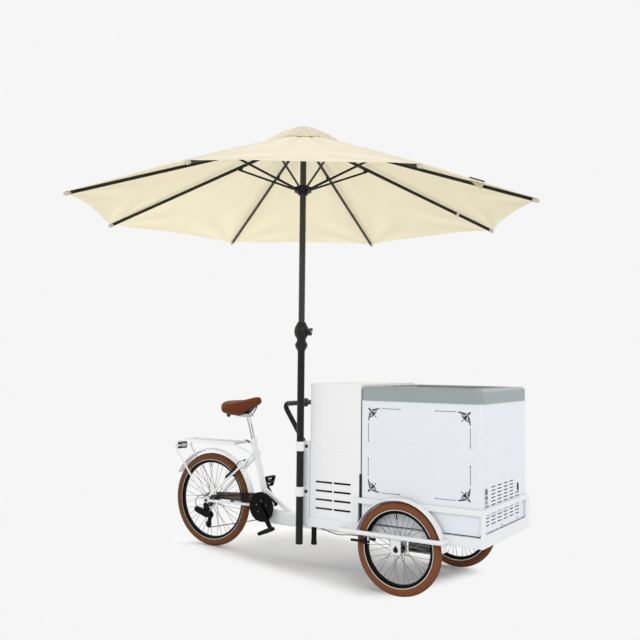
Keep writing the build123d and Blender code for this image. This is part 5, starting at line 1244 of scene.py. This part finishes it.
rib_paint = blackened("black_rib_paint", 0.010, 0.36)
paint(rib_paint, *(f"{kind}_{number + 1}" for kind in ("rib", "strut") for number in range(RIBS)))
paint(blackened("black_runner_plastic", 0.010, 0.45), "runner")
loop_cloth = grained("pale_tie_webbing", (0.70, 0.67, 0.60), 0.8, 0.06, 1500, 100)
loop_points = []
for end, (w, h) in ((-1, LOOP_INSIDE), (-1, LOOP_OUTSIDE), (1, LOOP_OUTSIDE), (1, LOOP_INSIDE)):
    loop_points += [(end * LOOP_HALF_LENGTH, y, z) for y, z in ((-w, -h), (w, -h), (w, h), (-w, h))]
loop = loop_points, lattice(4, 4, True)
copies("rib_loop", loop, [on_rib(LOOP_RIB, LOOP_AT)], loop_cloth, f"rib_{LOOP_RIB + 1}")
cap_plastic = grained("ivory_cap_plastic", (0.58, 0.53, 0.43), 0.5, 0.05, 900, 40)
tip_cap = pill((TIP_CAP[1] - TIP_CAP[0]) / cos(RIB_SLOPE), TIP_CAP_R, 12, TIP_CAP_FLAT)
for number in range(RIBS):
    tip = [on_rib(number, sum(TIP_CAP) / 2)]
    copies(f"rib_cap_{number + 1}", tip_cap, tip, cap_plastic, f"rib_{number + 1}")


# Canopy
# Ivory woven polyester: over each rib a strip of cloth with the stitched seam, and half a gore
# on each side of it, hemmed along the scalloped edge. A vented cap closes the opening at the top.
HALF_PANEL = pi / RIBS
HALF_CHORD = sin(HALF_PANEL) * cos(HALF_PANEL)
COVER_LIFT = 0.01031
COVER_ROWS = 60
COVER_DOME = 0.022
DOME_R = 1.300
CANOPY_R = 1.350
CANOPY_HOLE_R = 0.142
CLOTH_T = 0.0011
HEM_W = 0.022
HEM_T = 0.0022
HEM_SCALLOP = 0.024
HEM_STITCH = (HEM_W - 0.0035, HEM_W - 0.0022)
PANEL_SAG = 0.008
SEAM_RISE = 0.0012
SEAM_HALF = 0.006
SEAM_STITCH = (0.0036, 0.0048)
STITCH_SOFT = 0.0003
STITCH_RATE = 1500.0
STITCH_GAP = (-0.3, 0.1)
WEAVE_RATE = 5200.0
STRIP_HALF = 0.026
STRIP_COLUMNS = 14
GORE_COLUMNS = 24
PUCKER = 0.0050
PUCKER_REACH = 0.36
PUCKERS = 10
TIP_FOLD = 0.0040
TIP_FOLD_AT = 0.13
TIP_FOLDS = 9
TIP_CLEAR = (0.008, 0.05)
VENT_R = 0.235
VENT_INNER_R = 0.072
VENT_GAP = 0.004
VENT_TOP_Z = 2.6300
VENT_STRIP_HALF = 0.043
VENT_PUCKER = 0.0035
VENT_ROWS = 14
CUT_EXTRA = 1.03
IVORY = (0.91, 0.862, 0.735)
# A lighter copy of the ivory for the cloth's underside faces, painted light.
IVORY_UNDERSIDE_LIT = (0.95, 0.907, 0.770)


def cloth_finish(name, colour, through_light):
    """Woven cloth that lets some light through, with stitches beside seam and hem, and painted shade that
    follows the folds.
    """
    cloth = Finish(name, {"Roughness": 0.9, "Specular IOR Level": 0.15})
    spot = cloth.place.node("ShaderNodeAttribute", None, 1, attribute_name="cloth")
    across, inwards, crease_shade = (spot.node("ShaderNodeSeparateXYZ", {0: spot}, part) for part in range(3))
    # Sunken folds darken the colour and raised ones lighten it: painted shade, mixed with a random tint.
    tint_and_crease_shade = cloth.noise(2.2) * 0.3 + crease_shade.ramp(-1.0, 1.0) * 0.7
    tone = tint_and_crease_shade.blend(opaque(colour, 0.90), opaque(colour, 1.10))
    seam = across.math("ABSOLUTE", across).band(*SEAM_STITCH, STITCH_SOFT)
    seam = seam * inwards.wave(STITCH_RATE).ramp(*STITCH_GAP)
    hem = inwards.band(*HEM_STITCH, STITCH_SOFT) * across.wave(STITCH_RATE).ramp(*STITCH_GAP)
    stitches = hem.math("MAXIMUM", seam, hem)
    cloth.set({"Base Color": (stitches * 0.5).blend(tone, opaque(colour, 0.55))})
    weave = across.wave(WEAVE_RATE) * inwards.wave(WEAVE_RATE)
    cloth.relief(weave + cloth.noise(60.0) * 2.0 - stitches * 2.0, 100)
    glow = spot.node("ShaderNodeBsdfTranslucent", {"Color": opaque(colour)})
    cloth.surface(through_light, cloth.plain, glow)
    return cloth


def cover_z(rib_radius):
    """Height of the cover's underside over a rib."""
    dome = COVER_DOME * max(0.0, 1 - (rib_radius / DOME_R) ** 2)
    return RIB_HINGE_Z + COVER_LIFT + dome - (rib_radius - RIB_HINGE_R) * tan(RIB_SLOPE)


def vent_z(rib_radius):
    """Height of the vent's underside over a rib."""
    low = cover_z(VENT_R) + CLOTH_T + SEAM_RISE + VENT_GAP
    return low + (VENT_TOP_Z - CLOTH_T - low) * (1 - (rib_radius / VENT_R) ** 1.6)


def skin(name, upper, lower, marks, body, ring=False):
    """A closed thin cloth from two grids of points, with the cloth's own coordinates on it."""
    cloth = piece(name, shell(upper, lower, ring), canopy_finishes[0], body, 50)
    cloth.data.materials.append(canopy_finishes[1].material)
    own = cloth.data.attributes.new("cloth", "FLOAT_VECTOR", "POINT")
    flat_marks = [mark for row in marks for mark in row]
    for vertex, mark in zip(own.data, flat_marks * 2):
        vertex.vector = mark
    cloth_area = 0.0
    for face in cloth.data.polygons:
        if min(face.vertices) >= len(flat_marks):
            face.material_index = 1
        elif max(face.vertices) < len(flat_marks):
            cloth_area += face.area
    return cloth, cloth_area


def cover_shape(number, along_rib, share):
    """Rib radius, height, thickness, distance from the hem and fold depth of a place on the cover; the fold
    depth also sets painted shade in the cloth's colour.
    """
    share = abs(share)
    edge = CANOPY_R - HEM_SCALLOP * share * (2 - share)
    rib_radius = CANOPY_HOLE_R + (edge - CANOPY_HOLE_R) * along_rib
    across = share * HALF_CHORD * rib_radius
    sag = PANEL_SAG * sin(pi / 2 * share) ** 2 * sin(pi * ease(along_rib, 0, 1)) ** 0.8
    loose = sin(pi * share)
    pucker = PUCKER * exp((CANOPY_HOLE_R - rib_radius) / PUCKER_REACH)
    pucker *= sin(PUCKERS * share + 1.7 * number) * loose
    from_tip = hypot(CANOPY_R - rib_radius, across) / TIP_FOLD_AT
    fan = atan2(across, CANOPY_R - rib_radius + 0.02)
    fold = TIP_FOLD * from_tip * exp(1 - from_tip) * sin(TIP_FOLDS * fan + 1.3 * number)
    fold *= loose * ease(across, *TIP_CLEAR)
    hem = ease(rib_radius, edge - HEM_W - 0.001, edge - HEM_W + 0.001)
    seam = 1 - ease(across, SEAM_HALF * 0.6, SEAM_HALF)
    thick = CLOTH_T + (HEM_T - CLOTH_T) * hem + SEAM_RISE * seam
    height = cover_z(rib_radius) - sag + pucker + fold
    return rib_radius, height, thick, (edge - rib_radius) / cos(RIB_SLOPE), (pucker + fold) / TIP_FOLD


def vent_shape(number, along_rib, share):
    """The same for a place on the vent."""
    rib_radius = VENT_INNER_R + (VENT_R - VENT_INNER_R) * along_rib
    share = abs(share)
    seam = 1 - ease(share * HALF_CHORD * rib_radius, SEAM_HALF * 0.6, SEAM_HALF)
    pucker = VENT_PUCKER * sin(pi * share) * sin(pi * along_rib)
    pucker *= sin(9 * share + 6 * along_rib + 2.1 * number)
    thick = CLOTH_T + 0.6 * SEAM_RISE * seam
    return rib_radius, vent_z(rib_radius) + pucker, thick, VENT_R - rib_radius, pucker / VENT_PUCKER


def cloth_grids(number, side, rows, strip_half, shape):
    """Both faces and the cloth's coordinates of a strip over a rib, or of the gore on one side."""
    outward, sideways = rib_frame(number)
    upper, lower, marks = [], [], []
    for along_rib in rows:
        for grid in (upper, lower, marks):
            grid.append([])
        border = min(strip_half / (HALF_CHORD * shape(number, along_rib, 0)[0]), 0.96)
        ends = ((-1, -border), (-border, border), (border, 1))[side + 1]
        for share in spread(*ends, GORE_COLUMNS if side else STRIP_COLUMNS):
            # The last value is the fold depth, which the cloth's colour turns into painted shade.
            rib_radius, height, thick, inwards, crease_shade = shape(number, along_rib, share)
            across = share * HALF_CHORD * rib_radius
            place = outward * (rib_radius - abs(across) * tan(HALF_PANEL)) + sideways * across
            place.z = height
            lower[-1].append(place)
            upper[-1].append(place + Vector((0, 0, thick)))
            marks[-1].append((across, inwards, crease_shade))
    return upper, lower, marks


# The underside faces of each cloth get the lighter, more translucent copy: painted light on the underside.
canopy_finishes = cloth_finish("ivory_cloth", IVORY, 0.42), cloth_finish("ivory_underside_painted_light", IVORY_UNDERSIDE_LIT, 0.55)
hem_from = 1 - HEM_W / (CANOPY_R - CANOPY_HOLE_R)
cover_rows = spread(0, hem_from, COVER_ROWS) + [hem_from + 0.002, 1.0]
cover_length = (CANOPY_R - CANOPY_HOLE_R) / cos(RIB_SLOPE)
vent_length = 1.1 * (VENT_R - VENT_INNER_R)
CLOTHS = (
    # name, rows, half width of the strip, shape, length and half width at the edge
    ("canopy", cover_rows, STRIP_HALF, cover_shape, cover_length, HALF_CHORD * CANOPY_R),
    ("vent", spread(0, 1, VENT_ROWS), VENT_STRIP_HALF, vent_shape, vent_length, HALF_CHORD * VENT_R),
)
for number in range(RIBS):
    rib_body = f"rib_{number + 1}"
    outward, sideways = rib_frame(number)
    for cloth_name, rows, strip_half, shape, length, half_width in CLOTHS:
        for side, part in ((-1, "gore_right"), (0, "strip"), (1, "gore_left")):
            grids = cloth_grids(number, side, rows, strip_half, shape)
            cloth, cloth_area = skin(f"{cloth_name}_{part}_{number + 1}", *grids, rib_body)
            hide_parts("canopy")
            width = half_width - strip_half if side else 2 * strip_half
            cut = CUT_EXTRA * width, CUT_EXTRA * length
            if side:
                border_at = outward * RIB_HINGE_R + sideways * (side * strip_half)
                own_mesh(cloth)


# Vent crown
# The middle of the vent is sewn to the mast's top and keeps its place when the ribs fold; its
# inner skirt hangs in tabs between the ribs and covers their roots.
CROWN_RINGS = ((0.004, 0.0008), (0.030, 0.0008), (0.055, 0.0008), (0.081, 0.0008), (0.083, -0.0030))
CROWN_SKIRT = ((0.092, 2.580), (0.104, 2.548))
CROWN_COLUMNS = 96
TAB_R = 0.107
TAB_Z = (2.5455, 2.500)
TAB_CLEAR = (radians(7), radians(11))
NO_STITCH = (0.1, 0.1, 0)

crown_levels = [(radius, vent_z(radius) + CLOTH_T + lift) for radius, lift in CROWN_RINGS]
upper = []
for radius, height in crown_levels + [*CROWN_SKIRT, (TAB_R, None)]:
    upper.append([])
    for turn in full_turn(CROWN_COLUMNS):
        from_rib = abs((turn + HALF_PANEL) % (2 * HALF_PANEL) - HALF_PANEL)
        tab_z = TAB_Z[0] + (TAB_Z[1] - TAB_Z[0]) * ease(from_rib, *TAB_CLEAR)
        upper[-1].append(Vector((*polar(radius, RIB_AZIMUTH + turn), height or tab_z)))
lower = [[point - Vector((0, 0, CLOTH_T)) for point in row] for row in upper]
marks = [[NO_STITCH] * CROWN_COLUMNS] * len(upper)
crown_cloth, crown_area = skin("vent_crown", upper, lower, marks, "mast", ring=True)


# Closing strap
# A short webbing strap sewn to one seam, with a black hook patch on the cover and its loose
# end hanging under the cloth beside the rib.
STRAP_RIB = 0
STRAP_FROM = 0.985
STRAP_TO = 1.065
STRAP_HALF_W = 0.011
STRAP_T = 0.0012
STRAP_DROP = 0.040
STRAP_STEPS = 8
STRAP_NARROWS = (0.062, 0.012)
STRAP_BESIDE = RIB_HALF_W + 0.004
STRAP_BULGE = 0.010
PATCH_LEVELS = (0.0004, 0.0104)

outward, sideways = rib_frame(STRAP_RIB)
strap_body = f"rib_{STRAP_RIB + 1}"
patch_points = []
for level in PATCH_LEVELS:
    for distance, side in ((STRAP_FROM, -1), (STRAP_FROM, 1), (STRAP_TO, 1), (STRAP_TO, -1)):
        place = outward * distance + sideways * (side * STRAP_HALF_W)
        place.z = cover_z(distance) + CLOTH_T + SEAM_RISE + level
        patch_points.append(place)
hook_black = blackened("black_hook_patch", 0.010, 0.8)
piece("strap_patch", (patch_points, tube_faces(2, 4)), hook_black, strap_body)
upper, marks = [], []
for share in spread(0, 1, STRAP_STEPS):
    fall = STRAP_DROP * share
    upper.append([])
    for distance in (STRAP_FROM + STRAP_NARROWS[0] * share ** 1.4, STRAP_TO - STRAP_NARROWS[1] * share):
        place = outward * distance - sideways * (STRAP_BESIDE + STRAP_BULGE * sin(1.6 * share))
        place.z = cover_z(distance) - 0.0015 - fall
        upper[-1].append(place)
    marks.append([(0.1, 0.1 + fall, 0)] * 2)
lower = [[point - sideways * STRAP_T for point in row] for row in upper]
strap, strap_area = skin("closing_strap", upper, lower, marks, strap_body)
